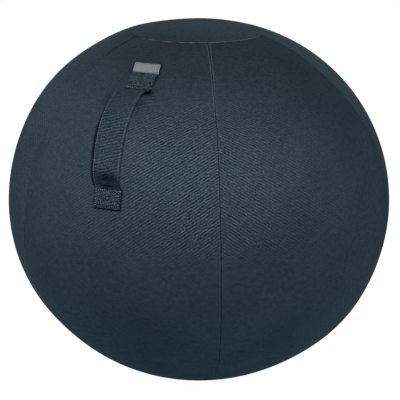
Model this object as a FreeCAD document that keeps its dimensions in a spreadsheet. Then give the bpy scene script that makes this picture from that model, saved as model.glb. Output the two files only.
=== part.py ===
import FreeCAD, Part
import math
import os
import Sketcher

# Sitting ball: air-filled ball in a cloth cover of five gores, with a strap handle and a
# flattened base. Millimetres, +Z up, origin at the middle of the base, handle towards -Y.

goreCount = 5

# Driving dimensions. Angles are measured from the vertical along the cover's outline.
sizes = {
    "ball_radius": 325,
    "cap_seam_radius": 114.3,
    "cap_slope": 18.15,
    "lower_join_angle": 48.9,
    "lower_ratio": 1.031,
    "base_slope": 16,
    "base_round": 20,
    "base_seam_radius": 122,
    "cloth": 1.5,
    "edge_round": 0.7,
    "binding_width": 10,
    "binding_thick": 0.8,
    "layer_gap": 0.3,
    "ball_gap": 1.4,
    "ball_wall": 1,
    "ring_radius": 66,
    "ring_width": 36,
    "ring_height": 18,
    "sleeve_wall": 1,
    "fill_gap": 0.3,
    "strap_width": 50,
    "strap_thick": 3,
    "strap_top_angle": 34.6,
    "strap_lift_angle": 42,
    "strap_land_angle": 74.1,
    "strap_end_angle": 80.2,
    "strap_gap": 27,
    "loop_radius": 126,
    "loop_crest": 0.4375,
    "upper_lead": 24,
    "lower_lead": 29,
    "lift_start": 7.5,
    "label_width": 47,
    "label_angle": 4.4,
    "label_thick": 0.8,
    "backing_width": 64,
    "backing_margin": 1.2,
    "zip_gap": 11,
    "zip_depth": 0.4,
    "tape_width": 9.6,
    "tape_thick": 0.6,
    "chain_half": 3.4,
    "chain_split": 0.75,
    "chain_thick": 2.4,
    "zip_margin": 3.4,
    "slider_length": 11,
    "slider_half": 4.9,
    "slider_plate": 1.6,
    "slider_play": 0.3,
    "slider_post": 0.9,
    "stop_length": 3,
    "pull_length": 22,
    "pull_width": 6,
    "pull_thick": 1.3,
    "pin_radius": 0.6,
    "pin_play": 0.06,
    "pin_height": 1.6,
    "eye_wall": 0.6,
    "ear_gap": 3.2,
    "ear_wide": 1,
    "ear_rim": 0.8,
    "valve_bore": 4.5,
    "valve_neck": 9,
    "valve_flange": 16,
    "valve_wall": 3,
    "valve_length": 15,
    "plug_play": 0.06,
    "plug_head": 8,
    "plug_head_thick": 1.8,
    "plug_length": 13,
    "plug_tip": 1,
}

doc = FreeCAD.newDocument("sitting_ball")
sheet = doc.addObject("Spreadsheet::Sheet", "Dims")
for row, (alias, number) in enumerate(sizes.items(), start=1):
    sheet.set("A%d" % row, alias)
    sheet.set("B%d" % row, str(number))
    sheet.setAlias("B%d" % row, alias)
doc.recompute()


def d(alias):
    return "Dims." + alias


def value(expression):
    result = sheet.evalExpression(expression)
    return float(getattr(result, "Value", result))


# Outline of the cover in the half plane (distance from the axis, height): crown arc,
# shoulder arc, lower side arc, bowl arc, base round, flat base. Neighbouring arcs share a tangent.
R = d("ball_radius")
capSlope = d("cap_slope")
joinAngle = d("lower_join_angle")
baseSlope = d("base_slope")
crownR = f"({d('cap_seam_radius')} / sin({capSlope}))"
shoulderR = f"(({R} - {d('cap_seam_radius')}) / (1 - sin({capSlope})))"
bowlR = f"({d('lower_ratio')} * {R})"
sideR = f"(({R} - {bowlR} * sin({joinAngle})) / (1 - sin({joinAngle})))"
bowlZ = f"(({bowlR} - {d('base_round')}) * cos({baseSlope}) + {d('base_round')})"
equatorZ = f"({bowlZ} - ({bowlR} - {sideR}) * cos({joinAngle}))"
crownZ = f"({equatorZ} - ({crownR} - {shoulderR}) * cos({capSlope}))"
goreAngle = f"(360 / {goreCount})"
baseSeam = f"(asin({d('base_seam_radius')} / {bowlR}) / (1 deg))"
zipSeam = f"(asin(({d('base_seam_radius')} + {d('zip_gap')}) / {bowlR}) / (1 deg))"


def onCrown(angle, depth):
    return (f"({crownR} - ({depth})) * sin({angle})",
            f"{crownZ} + ({crownR} - ({depth})) * cos({angle})")


def onShoulder(angle, depth):
    return (f"{R} - {shoulderR} + ({shoulderR} - ({depth})) * sin({angle})",
            f"{equatorZ} + ({shoulderR} - ({depth})) * cos({angle})")


def onSide(angle, depth):
    return (f"{R} - {sideR} + ({sideR} - ({depth})) * sin({angle})",
            f"{equatorZ} - ({sideR} - ({depth})) * cos({angle})")


def onBowl(angle, depth):
    return (f"({bowlR} - ({depth})) * sin({angle})",
            f"{bowlZ} - ({bowlR} - ({depth})) * cos({angle})")


def arc(radius, side):
    return (radius, side)


line = None
outward = -1
inward = 1


def arcGeometry(p, q, radius, side):
    # side tells on which hand of the way from p to q the centre lies
    chord = q - p
    half = chord.Length / 2
    normal = FreeCAD.Vector(-chord.y, chord.x, 0).normalize()
    centre = p + chord * 0.5 + normal * (side * math.sqrt(max(radius ** 2 - half ** 2, 0)))
    first, last = (p, q) if side > 0 else (q, p)
    circle = Part.Circle(centre, FreeCAD.Vector(0, 0, 1), radius)
    start = math.atan2(first.y - centre.y, first.x - centre.x)
    end = math.atan2(last.y - centre.y, last.x - centre.x)
    return Part.ArcOfCircle(circle, start, end)


def addLoop(sketch, points, edges, tag):
    # closed outline through fixed points; each edge is a line or an arc of a given radius
    corners = [FreeCAD.Vector(value(x), value(y), 0) for x, y in points]
    ids, starts, ends = [], [], []
    for i, edge in enumerate(edges):
        p, q = corners[i], corners[(i + 1) % len(corners)]
        if edge is line:
            ids.append(sketch.addGeometry(Part.LineSegment(p, q)))
        else:
            ids.append(sketch.addGeometry(arcGeometry(p, q, value(edge[0]), edge[1])))
        turned = edge is not line and edge[1] < 0
        starts.append(2 if turned else 1)
        ends.append(1 if turned else 2)
    for i in range(len(edges)):
        k = (i + 1) % len(edges)
        sketch.addConstraint(Sketcher.Constraint("Coincident", ids[i], ends[i], ids[k], starts[k]))
    for i, (x, y) in enumerate(points):
        for kind, axis, text in (("DistanceX", -2, x), ("DistanceY", -1, y)):
            if text == "0":
                fix = Sketcher.Constraint("PointOnObject", ids[i], starts[i], axis)
                sketch.addConstraint(fix)
                continue
            fix = Sketcher.Constraint(kind, -1, 1, ids[i], starts[i], value(text))
            bindConstraint(sketch, fix, f"{tag}{kind}{i}", text)
        if edges[i] is not line:
            fix = Sketcher.Constraint("Radius", ids[i], value(edges[i][0]))
            bindConstraint(sketch, fix, f"{tag}Radius{i}", edges[i][0])


def bindConstraint(sketch, constraint, name, text):
    index = sketch.addConstraint(constraint)
    sketch.renameConstraint(index, name)
    sketch.setExpression("Constraints." + name, text)


def addCircle(sketch, x, y, radius, tag):
    centre = FreeCAD.Vector(value(x), value(y), 0)
    circle = sketch.addGeometry(Part.Circle(centre, FreeCAD.Vector(0, 0, 1), value(radius)))
    for kind, axis, text in (("DistanceX", -2, x), ("DistanceY", -1, y)):
        if text == "0":
            sketch.addConstraint(Sketcher.Constraint("PointOnObject", circle, 3, axis))
        else:
            fix = Sketcher.Constraint(kind, -1, 1, circle, 3, value(text))
            bindConstraint(sketch, fix, tag + kind, text)
    bindConstraint(sketch, Sketcher.Constraint("Radius", circle, value(radius)), tag + "Radius", radius)


nodes = []


def newBody(label):
    body = doc.addObject("PartDesign::Body", label)
    body.Label = label
    nodes.append(body)
    return body


def newSketch(body, name, plane):
    sketch = body.newObject("Sketcher::SketchObject", name)
    support = [item for item in body.Origin.OriginFeatures if item.Role == plane][0]
    sketch.AttachmentSupport = [(support, "")]
    sketch.MapMode = "FlatFace"
    return sketch


def sketchLoops(body, name, plane, *loops):
    sketch = newSketch(body, name, plane)
    for i, (points, edges) in enumerate(loops):
        addLoop(sketch, points, edges, "loop%d" % i)
    doc.recompute()
    return sketch


def revolve(body, sketch, angle):
    feature = body.newObject("PartDesign::Revolution", sketch.Name + "Turn")
    feature.Profile = sketch
    feature.ReferenceAxis = (sketch, ["V_Axis"])
    feature.Midplane = True
    feature.setExpression("Angle", angle)
    doc.recompute()
    return feature


def pad(body, sketch, length):
    feature = body.newObject("PartDesign::Pad", sketch.Name + "Pad")
    feature.Profile = sketch
    feature.Midplane = True
    feature.setExpression("Length", length)
    doc.recompute()
    return feature


def pocketThrough(body, sketch):
    feature = body.newObject("PartDesign::Pocket", sketch.Name + "Cut")
    feature.Profile = sketch
    feature.Type = "ThroughAll"
    feature.Midplane = True
    doc.recompute()
    return feature


def turnTo(item, angle):
    item.setExpression("Placement.Rotation.Angle", angle)


def shellLoop(stops, outer, inner):
    # stops: (point function, angle) along the outline, then the arc radius to the next stop
    out = [place(angle, outer) for place, angle, _ in stops]
    back = [place(angle, inner) for place, angle, _ in reversed(stops)]
    radii = [radius for _, _, radius in stops[:-1]]
    edges = [arc(f"{radius} - ({outer})", outward) for radius in radii] + [line]
    edges += [arc(f"{radius} - ({inner})", inward) for radius in reversed(radii)] + [line]
    return out + back, edges


def onOuterSeam(edge):
    # arcs of the cover's outside that lie in a plane through the axis
    outerRadii = [value(radius) for radius in (shoulderR, sideR, bowlR)]
    upright = hasattr(edge.Curve, "Axis") and abs(edge.Curve.Axis.z) < 0.5
    return upright and any(abs(edge.Curve.Radius - radius) < 0.001 for radius in outerRadii)


# Cover: five gores. The two at the back stop short of the base panel to leave room for the zip.
zipGores = (3, 4)
for number in range(1, goreCount + 1):
    body = newBody("cover_gore_%d" % number)
    lowerEdge = zipSeam if number in zipGores else baseSeam
    stops = [(onShoulder, capSlope, shoulderR), (onSide, "90", sideR), (onBowl, joinAngle, bowlR),
             (onBowl, lowerEdge, None)]
    sketch = sketchLoops(body, "gore%dOutline" % number, "XZ_Plane", shellLoop(stops, "0", d("cloth")))
    turn = revolve(body, sketch, goreAngle)
    outerEdges = ["Edge%d" % (i + 1) for i, edge in enumerate(turn.Shape.Edges) if onOuterSeam(edge)]
    rounding = body.newObject("PartDesign::Fillet", "gore%dSeam" % number)
    rounding.Base = (turn, outerEdges)
    rounding.setExpression("Radius", d("edge_round"))
    turnTo(body, f"-90 + {number - 1} * {goreAngle}")

# Cover: top panel, closed at the middle.
body = newBody("cover_top_panel")
capIn = d("cloth")
capLoop = ([("0", f"{crownZ} + {crownR}"), onCrown(capSlope, "0"), onCrown(capSlope, capIn),
            ("0", f"{crownZ} + {crownR} - {capIn}")],
           [arc(crownR, outward), line, arc(f"{crownR} - {capIn}", inward), line])
revolve(body, sketchLoops(body, "topPanelOutline", "XZ_Plane", capLoop), "360")

# Cover: base panel with its flat foot.
body = newBody("cover_base_panel")
footRadius = f"({bowlR} - {d('base_round')}) * sin({baseSlope})"
baseLoop = ([("0", "0"), (footRadius, "0"), onBowl(baseSlope, "0"), onBowl(baseSeam, "0"),
             onBowl(baseSeam, d("cloth")), onBowl(baseSlope, d("cloth")), (footRadius, d("cloth")),
             ("0", d("cloth"))],
            [line, arc(d("base_round"), inward), arc(bowlR, inward), line,
             arc(f"{bowlR} - {d('cloth')}", outward), arc(f"{d('base_round')} - {d('cloth')}", outward),
             line, line])
revolve(body, sketchLoops(body, "basePanelOutline", "XZ_Plane", baseLoop), "360")

# Seam binding inside the cover.
bindOut = f"{d('cloth')} + {d('layer_gap')}"
bindIn = f"{bindOut} + {d('binding_thick')}"
halfBind = f"({d('binding_width')} / 2)"
body = newBody("top_seam_binding")
crownStart = f"({capSlope} - {halfBind} / {crownR} * 180 / pi)"
shoulderEnd = f"({capSlope} + {halfBind} / {shoulderR} * 180 / pi)"
stops = [(onCrown, crownStart, crownR), (onShoulder, capSlope, shoulderR),
         (onShoulder, shoulderEnd, None)]
sketch = sketchLoops(body, "topBindingOutline", "XZ_Plane", shellLoop(stops, bindOut, bindIn))
revolve(body, sketch, "360")

body = newBody("base_seam_binding")
bindAngle = f"{halfBind} / {bowlR} * 180 / pi"
stops = [(onBowl, f"({baseSeam} + {bindAngle})", bowlR), (onBowl, f"({baseSeam} - {bindAngle})", None)]
frontSweep = f"({goreCount - len(zipGores)} * {goreAngle} - 2)"
sketch = sketchLoops(body, "baseBindingOutline", "XZ_Plane", shellLoop(stops, bindOut, bindIn))
revolve(body, sketch, frontSweep)
turnTo(body, "-90")

seamTop = f"({capSlope} + 1.3 * {halfBind} / {shoulderR} * 180 / pi)"
tapeReach = f"({d('zip_gap')} / 2 + {d('tape_width')})"
seamFoot = f"({zipSeam} + {tapeReach} / {bowlR} * 180 / pi)"
for number in range(1, goreCount + 1):
    body = newBody("gore_seam_binding_%d" % number)
    stops = [(onShoulder, seamTop, shoulderR), (onSide, "90", sideR), (onBowl, joinAngle, bowlR),
             (onBowl, seamFoot, None)]
    strip = shellLoop(stops, bindOut, bindIn)
    sketch = sketchLoops(body, "seamBinding%dOutline" % number, "XZ_Plane", strip)
    pad(body, sketch, d("binding_width"))
    turnTo(body, f"-90 + {number - 0.5} * {goreAngle}")

# Strap. Its own plane: u along the line from the upper to the lower sewn end, v away from the ball.
lift, land = d("strap_lift_angle"), d("strap_land_angle")
halfSpan = f"(({land} - {lift}) / 2)"
spanAngle = f"(({land} + {lift}) / 2)"
span = f"(2 * {shoulderR} * sin({halfSpan}))"
ballV = f"({shoulderR} * cos({halfSpan}))"
thick = d("strap_thick")
crestU = f"({d('loop_crest')} * {span})"
crestV = f"({shoulderR} - {ballV} + {d('strap_gap')} + {thick})"
loopR = d("loop_radius")
upperU = d("upper_lead")
lowerU = f"({span} - {d('lower_lead')})"


def loopV(u, depth):
    return f"({crestV} - {loopR} + sqrt(({loopR} - {depth})^2 - (({u}) - {crestU})^2))"


def overBall(angle, height):
    # point at a height over the shoulder arc, in the strap's own plane
    reach = f"({shoulderR} + ({height}))"
    return (f"{span} / 2 + {reach} * sin({angle} - {spanAngle})",
            f"{reach} * cos({angle} - {spanAngle}) - {ballV}")


def ballAt(u, height):
    return f"(sqrt(({shoulderR} + ({height}))^2 - (({u}) - {span} / 2)^2) - {ballV})"


def strapBody(label):
    body = newBody(label)
    upX, upZ = onShoulder(lift, "0")
    body.setExpression("Placement.Base.y", f"-({upX})")
    body.setExpression("Placement.Base.z", upZ)
    body.Placement.Rotation = FreeCAD.Rotation(FreeCAD.Vector(1, 0, 0), 0)
    body.setExpression("Placement.Rotation.Angle", f"{spanAngle}")
    return body


def strapPad(body, name, points, edges):
    # the outline's u runs towards -Y before the body is tilted, so it is drawn mirrored
    mirrored = [(f"-({u})", v) for u, v in points]
    turned = [edge if edge is line else arc(edge[0], -edge[1]) for edge in edges]
    pad(body, sketchLoops(body, name, "YZ_Plane", (mirrored, turned)), d("strap_width"))


body = strapBody("handle_loop")
strapPad(body, "loopOutline",
         [(upperU, loopV(upperU, "0")), (lowerU, loopV(lowerU, "0")),
          (lowerU, loopV(lowerU, thick)), (upperU, loopV(upperU, thick))],
         [arc(loopR, outward), line, arc(f"{loopR} - {thick}", inward), line])

body = strapBody("handle_upper_end")
under = d("layer_gap")
over = f"({under} + {thick})"
leadSin = f"(({crestU} - {upperU}) / {loopR})"
leadR = f"(({loopV(upperU, '0')} - {d('lift_start')}) / sqrt(1 - {leadSin}^2))"
leadU = f"({upperU} + {leadR} * {leadSin})"
wallOut = f"({leadU} - {leadR})"
wallIn = f"({wallOut} + {thick})"
leadIn = f"({d('lift_start')} + sqrt(({leadR} - {thick})^2 - ({leadU} - {upperU})^2))"
strapPad(body, "upperEndOutline",
         [overBall(d("strap_top_angle"), over), (wallOut, ballAt(wallOut, over)),
          (wallOut, d("lift_start")), (upperU, loopV(upperU, "0")), (upperU, leadIn),
          (wallIn, d("lift_start")), (wallIn, ballAt(wallIn, under)),
          overBall(d("strap_top_angle"), under)],
         [arc(f"{shoulderR} + {over}", outward), line, arc(leadR, outward), line,
          arc(f"{leadR} - {thick}", inward), line, arc(f"{shoulderR} + {under}", inward), line])

body = strapBody("handle_lower_end")
landOut = f"({land} + 0.9)"
landIn = f"({land} + 1.3)"
strapPad(body, "lowerEndOutline",
         [(lowerU, loopV(lowerU, "0")), overBall(landOut, over), overBall(d("strap_end_angle"), over),
          overBall(d("strap_end_angle"), under), overBall(landIn, under), (lowerU, loopV(lowerU, thick))],
         [line, arc(f"{shoulderR} + {over}", outward), line, arc(f"{shoulderR} + {under}", inward),
          line, line])


def trimmedPatch(label, topAngle, endAngle, outer, inner, width):
    # piece of cloth that follows the ball, with straight sides
    body = newBody(label)
    stops = [(onShoulder, topAngle, shoulderR), (onShoulder, endAngle, None)]
    sketch = sketchLoops(body, label + "Outline", "XZ_Plane", shellLoop(stops, outer, inner))
    revolve(body, sketch, "30")
    far = f"2 * {R}"
    half = f"{width} / 2"
    sides = []
    for sign in ("", "-"):
        sides.append(([("0", f"{sign}({half})"), (far, f"{sign}({half})"), (far, f"{sign}({far})"),
                       ("0", f"{sign}({far})")], [line] * 4))
    pocketThrough(body, sketchLoops(body, label + "Sides", "XY_Plane", *sides))
    turnTo(body, "-90")
    return body


labelTop = f"({d('strap_top_angle')} - {d('label_angle')})"
labelFoot = f"({d('strap_top_angle')} - 0.05)"
labelOver = f"-({under} + {d('label_thick')})"
trimmedPatch("label_tab", labelTop, labelFoot, labelOver, f"-({under})", d("label_width"))
margin = d("backing_margin")
trimmedPatch("handle_upper_backing", f"({d('strap_top_angle')} - {margin})", f"({lift} + {margin})",
             bindOut, bindIn, d("backing_width"))
trimmedPatch("handle_lower_backing", f"({land} - {margin})", f"({d('strap_end_angle')} + {margin})",
             bindOut, bindIn, d("backing_width"))

# Zip, in a frame at the middle of its row of teeth: s up the slope of the bowl, n out of the cover.
zipAngle = f"(({baseSeam} + {zipSeam}) / 2)"
zipR, zipZ = onBowl(zipAngle, "0")
zipSweep = f"({len(zipGores)} * {goreAngle})"


def zipPoint(s, n):
    return (f"{zipR} + ({s}) * cos({zipAngle}) + ({n}) * sin({zipAngle})",
            f"{zipZ} + ({s}) * sin({zipAngle}) - ({n}) * cos({zipAngle})")


def zipBox(body, name, s0, s1, n0, n1, sweep):
    corners = [zipPoint(s0, n0), zipPoint(s1, n0), zipPoint(s1, n1), zipPoint(s0, n1)]
    return revolve(body, sketchLoops(body, name, "XZ_Plane", (corners, [line] * 4)), sweep)


tapeTop = f"-({d('cloth')} + {d('zip_depth')})"
tapeFoot = f"({tapeTop} - {d('tape_thick')})"
chainTop = f"(({tapeTop} + {tapeFoot} + {d('chain_thick')}) / 2)"
chainFoot = f"({chainTop} - {d('chain_thick')})"
chainSweep = f"({zipSweep} - 2 * {d('zip_margin')})"
tapeSweep = f"({zipSweep} - {d('zip_margin')} / 2)"
for side, sign in (("outer", ""), ("inner", "-")):
    body = newBody("zip_tape_" + side)
    zipBox(body, side + "TapeOutline", f"{sign}({d('chain_half')})",
           f"{sign}({d('chain_half')} + {d('tape_width')})", tapeFoot, tapeTop, tapeSweep)
    turnTo(body, "90")
    body = newBody("zip_teeth_" + side)
    zipBox(body, side + "TeethOutline", f"{sign}({d('chain_split')})", f"{sign}({d('chain_half')})",
           chainFoot, chainTop, chainSweep)
    turnTo(body, "90")


def zipPlace(item, azimuth):
    # own axes of a small zip piece: x along the teeth, y up the slope, z out of the cover
    base = f"vector(({zipR}) * cos({azimuth}); ({zipR}) * sin({azimuth}); {zipZ})"
    spin = f"rotation(vector(0; 0; 1); {azimuth})"
    tilt = f"rotation(vector(0; 1; 0); -({zipAngle}))"
    turnOver = "rotation(vector(1; 1; 0); 180)"
    item.setExpression("Placement", f"placement({base}; {spin} * {tilt} * {turnOver})")


def rectangle(x0, x1, y0, y1):
    return [(x0, y0), (x1, y0), (x1, y1), (x0, y1)], [line] * 4


perDegree = f"(({zipR}) * pi / 180)"
chainEnd = f"({chainSweep} / 2)"
play = d("slider_play")
sliderAzimuth = f"(90 + {chainEnd} - ({d('slider_length')} / 2 + {play}) / {perDegree})"
half = d("slider_half")
flange = f"({d('chain_half')} + {play})"
plateFoot = f"({chainTop} + {play})"
plateTop = f"({plateFoot} + {d('slider_plate')})"
innerTop = f"({chainFoot} - {play})"
innerFoot = f"({innerTop} - {d('slider_plate')})"
overlap = 0.2


def sliderPlate(body, name, near, far, lip):
    # plate with a lip at each side that keeps the teeth in
    corners = [(f"-({half})", far), (half, far), (half, lip), (flange, lip), (flange, near),
               (f"-({flange})", near), (f"-({flange})", lip), (f"-({half})", lip)]
    pad(body, sketchLoops(body, name, "YZ_Plane", (corners, [line] * len(corners))), d("slider_length"))


body = newBody("zip_slider")
sliderPlate(body, "sliderOuter", plateFoot, plateTop, f"({tapeTop} + {play})")
postHalf = f"({d('slider_post')} / 2)"
post = rectangle(f"-({postHalf})", postHalf, f"{innerTop} - {overlap}", f"{plateFoot} + {overlap}")
pad(body, sketchLoops(body, "sliderPost", "YZ_Plane", post), f"{d('slider_length')} / 3")
sliderPlate(body, "sliderInner", innerTop, innerFoot, f"({tapeFoot} - {play})")
pinZ = f"({plateTop} + {d('pin_height')})"
earIn = f"({d('ear_gap')} / 2)"
earOut = f"({earIn} + {d('ear_wide')})"
earTop = f"({pinZ} + {d('pin_radius')} + {d('ear_rim')})"
earFoot = f"{plateTop} - {overlap}"
ears = [rectangle(f"{sign}({earIn})", f"{sign}({earOut})", earFoot, earTop) for sign in ("", "-")]
earSketch = sketchLoops(body, "sliderEars", "YZ_Plane", *ears)
pad(body, earSketch, f"2 * ({d('pin_radius')} + {d('ear_rim')})")
pinSketch = newSketch(body, "sliderPin", "XZ_Plane")
addCircle(pinSketch, "0", pinZ, d("pin_radius"), "pin")
pad(body, pinSketch, f"2 * {earIn} + {d('ear_wide')}")
zipPlace(body, sliderAzimuth)

body = newBody("zip_pull_tab")
pullHalf = f"({d('pull_width')} / 2)"
neckHalf = f"({earIn} - {play} / 2)"
neck = f"({d('pin_height')} + {d('pin_radius')} + {d('ear_rim')})"
tipX = f"({d('pull_length')} - {pullHalf})"
tabLoop = ([("0", f"-({neckHalf})"), (neck, f"-({neckHalf})"), (neck, f"-({pullHalf})"),
            (tipX, f"-({pullHalf})"), (d("pull_length"), "0"), (tipX, pullHalf), (neck, pullHalf),
            (neck, neckHalf), ("0", neckHalf)],
           [line, line, line, arc(pullHalf, inward), arc(pullHalf, inward), line, line, line, line])
gripHalf = f"({pullHalf} / 2)"
grip = rectangle(f"{tipX} - {pullHalf}", tipX, f"-({gripHalf})", gripHalf)
tabSketch = sketchLoops(body, "tabOutline", "XY_Plane", tabLoop, grip)
tabSketch.setExpression("AttachmentOffset.Base.z", pinZ)
pad(body, tabSketch, d("pull_thick"))
boreR = f"({d('pin_radius')} + {d('pin_play')})"
eyeSketch = newSketch(body, "tabEye", "XZ_Plane")
addCircle(eyeSketch, "0", pinZ, f"{boreR} + {d('eye_wall')}", "eye")
pad(body, eyeSketch, f"2 * {neckHalf}")
boreSketch = newSketch(body, "tabBore", "XZ_Plane")
addCircle(boreSketch, "0", pinZ, boreR, "bore")
pocketThrough(body, boreSketch)
zipPlace(body, sliderAzimuth)


def zipStop(label, s0, s1, azimuth):
    body = doc.addObject("PartDesign::Body", label)
    body.Label = label
    loop = rectangle(s0, s1, chainFoot, chainTop)
    pad(body, sketchLoops(body, label + "Outline", "YZ_Plane", loop), d("stop_length"))
    zipPlace(body, azimuth)
    return body


stopShift = f"({chainEnd} + ({d('stop_length')} / 2 + {d('layer_gap')}) / {perDegree})"
split, edge = d("chain_split"), d("chain_half")
nodes.append(zipStop("zip_bottom_stop", f"-({edge})", edge, f"(90 - {stopShift})"))
topStops = doc.addObject("Part::Compound", "zip_top_stops")
topStops.Label = "zip_top_stops"
topStops.Links = [zipStop("upper_stop", split, edge, f"(90 + {stopShift})"),
                  zipStop("lower_stop", f"-({edge})", f"-({split})", f"(90 + {stopShift})")]
nodes.append(topStops)


def flatTube(radius, width, foot, height):
    # cross-section of the ring: flat above and below, round at both sides
    side = f"({height}) / 2"
    inner, outer = f"{radius} - ({width}) / 2", f"{radius} + ({width}) / 2"
    middle, top = f"{foot} + {side}", f"{foot} + {height}"
    points = [(f"{inner} + {side}", foot), (f"{outer} - {side}", foot), (outer, middle),
              (f"{outer} - {side}", top), (f"{inner} + {side}", top), (inner, middle)]
    bend = arc(side, inward)
    return points, [line, bend, bend, line, bend, bend]


# Ring in the base: sleeve and filling.
ringR, ringW, ringH = d("ring_radius"), d("ring_width"), d("ring_height")
wall, slack = d("sleeve_wall"), d("fill_gap")
body = newBody("ring_sleeve")
hollow = flatTube(ringR, f"({ringW} - 2 * {wall})", f"({d('cloth')} + {wall})", f"({ringH} - 2 * {wall})")
sleeve = sketchLoops(body, "sleeveOutline", "XZ_Plane", flatTube(ringR, ringW, d("cloth"), ringH), hollow)
revolve(body, sleeve, "360")
body = newBody("ring_filling")
filling = flatTube(ringR, f"({ringW} - 2 * {wall} - 2 * {slack})", f"({d('cloth')} + {wall})",
                   f"({ringH} - 2 * {wall} - {slack})")
revolve(body, sketchLoops(body, "fillingOutline", "XZ_Plane", filling), "360")

# Inner ball: follows the cover, and lies flat on the ring as far as the ring's outer edge, with
# its valve at the middle below.
body = newBody("inner_ball")
ballOut = f"({d('cloth')} + {d('ball_gap')})"
ballIn = f"({ballOut} + {d('ball_wall')})"
restZ = f"({d('cloth')} + {ringH} + {slack})"
restEdge = f"({ringR} + {ringW} / 2)"
ballBowl = f"({bowlR} - {ballOut})"
restDrop = f"({bowlZ} - {restZ})"
restR = f"(({ballBowl} + {restDrop} - {restEdge}^2 / ({ballBowl} - {restDrop})) / 2)"
restAngle = f"(asin({restEdge} / ({ballBowl} - {restR})) / (1 deg))"
neckR = d("valve_neck")
stops = [(onCrown, capSlope), (onSide, "90"), (onBowl, joinAngle), (onBowl, restAngle)]
radii = [crownR, shoulderR, sideR, bowlR]
points = [("0", f"{crownZ} + {crownR} - {ballOut}")] + [place(angle, ballOut) for place, angle in stops]
points += [(restEdge, restZ), (neckR, restZ), (neckR, f"{restZ} + {d('ball_wall')}"),
           (restEdge, f"{restZ} + {d('ball_wall')}")]
points += [place(angle, ballIn) for place, angle in reversed(stops)]
points += [("0", f"{crownZ} + {crownR} - {ballIn}")]
edges = [arc(f"{radius} - {ballOut}", outward) for radius in radii]
edges += [arc(restR, outward), line, line, line, arc(f"{restR} - {d('ball_wall')}", inward)]
edges += [arc(f"{radius} - {ballIn}", inward) for radius in reversed(radii)] + [line]
revolve(body, sketchLoops(body, "innerBallOutline", "XZ_Plane", (points, edges)), "360")

# Valve: seat bonded into the inner ball, and a plug pushed in from below.
bore = d("valve_bore")
seatFoot = f"{restZ} + {d('ball_wall')}"
tubeR = f"{bore} + {d('valve_wall')}"
flangeTop = f"{seatFoot} + {d('valve_wall')} * 0.7"
neckOut = f"{neckR} - {d('layer_gap')}"
body = newBody("valve_seat")
points = [(bore, restZ), (neckOut, restZ), (neckOut, seatFoot), (d("valve_flange"), seatFoot),
          (d("valve_flange"), flangeTop), (tubeR, flangeTop), (tubeR, f"{restZ} + {d('valve_length')}"),
          (bore, f"{restZ} + {d('valve_length')}")]
revolve(body, sketchLoops(body, "seatOutline", "XZ_Plane", (points, [line] * len(points))), "360")

body = newBody("valve_plug")
stem = f"{bore} - {d('plug_play')}"
headTop = f"({restZ} - {d('layer_gap')})"
headFoot = f"{headTop} - {d('plug_head_thick')}"
stemTop = f"({restZ} + {d('plug_length')})"
tip = f"{stem} - {d('plug_tip')}"
points = [("0", headFoot), (d("plug_head"), headFoot), (d("plug_head"), headTop), (stem, headTop),
          (stem, f"{stemTop} - {d('plug_tip')}"), (tip, stemTop), ("0", stemTop)]
revolve(body, sketchLoops(body, "plugOutline", "XZ_Plane", (points, [line] * len(points))), "360")

# Check and writing of the pieces.
doc.recompute()
os.makedirs("parts", exist_ok=True)
faults = [item.Name for item in doc.Objects if "Invalid" in item.State or "Error" in item.State]
faults += [node.Label for node in nodes if node.Shape.isNull() or not node.Shape.isValid()]
if faults:
    raise RuntimeError("not sound: " + ", ".join(faults))
for node in nodes:
    node.Shape.exportStep("parts/%s.step" % node.Label)
    print(node.Label, len(node.Shape.Solids), round(node.Shape.Volume, 1))
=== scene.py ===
import math
import bpy
import numpy as np
from mathutils import Matrix, Vector


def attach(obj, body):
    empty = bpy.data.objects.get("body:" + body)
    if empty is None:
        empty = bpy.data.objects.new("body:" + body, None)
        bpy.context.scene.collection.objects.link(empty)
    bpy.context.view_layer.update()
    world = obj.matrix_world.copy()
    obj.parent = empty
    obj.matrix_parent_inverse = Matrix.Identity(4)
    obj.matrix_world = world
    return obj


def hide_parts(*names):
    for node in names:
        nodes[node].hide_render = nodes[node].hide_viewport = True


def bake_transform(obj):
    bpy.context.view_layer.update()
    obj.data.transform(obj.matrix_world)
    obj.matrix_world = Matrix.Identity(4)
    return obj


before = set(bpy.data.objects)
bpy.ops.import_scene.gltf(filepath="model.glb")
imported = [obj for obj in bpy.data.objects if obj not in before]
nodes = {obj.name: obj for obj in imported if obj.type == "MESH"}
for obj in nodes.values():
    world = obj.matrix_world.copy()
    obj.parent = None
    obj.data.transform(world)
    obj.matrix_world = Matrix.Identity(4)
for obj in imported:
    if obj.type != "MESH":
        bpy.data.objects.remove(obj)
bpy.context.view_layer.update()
mm = 0.001
print("frame loaded:", len(nodes), "nodes")

# outline of the ball, metres and degrees: crown, shoulder, side, bowl, base round, flat foot
ball = dict(radius=0.325, capRadius=0.1143, capSlope=18.15, joinAngle=48.9, lowerRatio=1.031,
            baseSlope=16.0, baseRound=0.020, baseSeam=0.122, zipGap=0.011, gores=5,
            sample=0.0004, fewest=40, footSamples=200)


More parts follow.
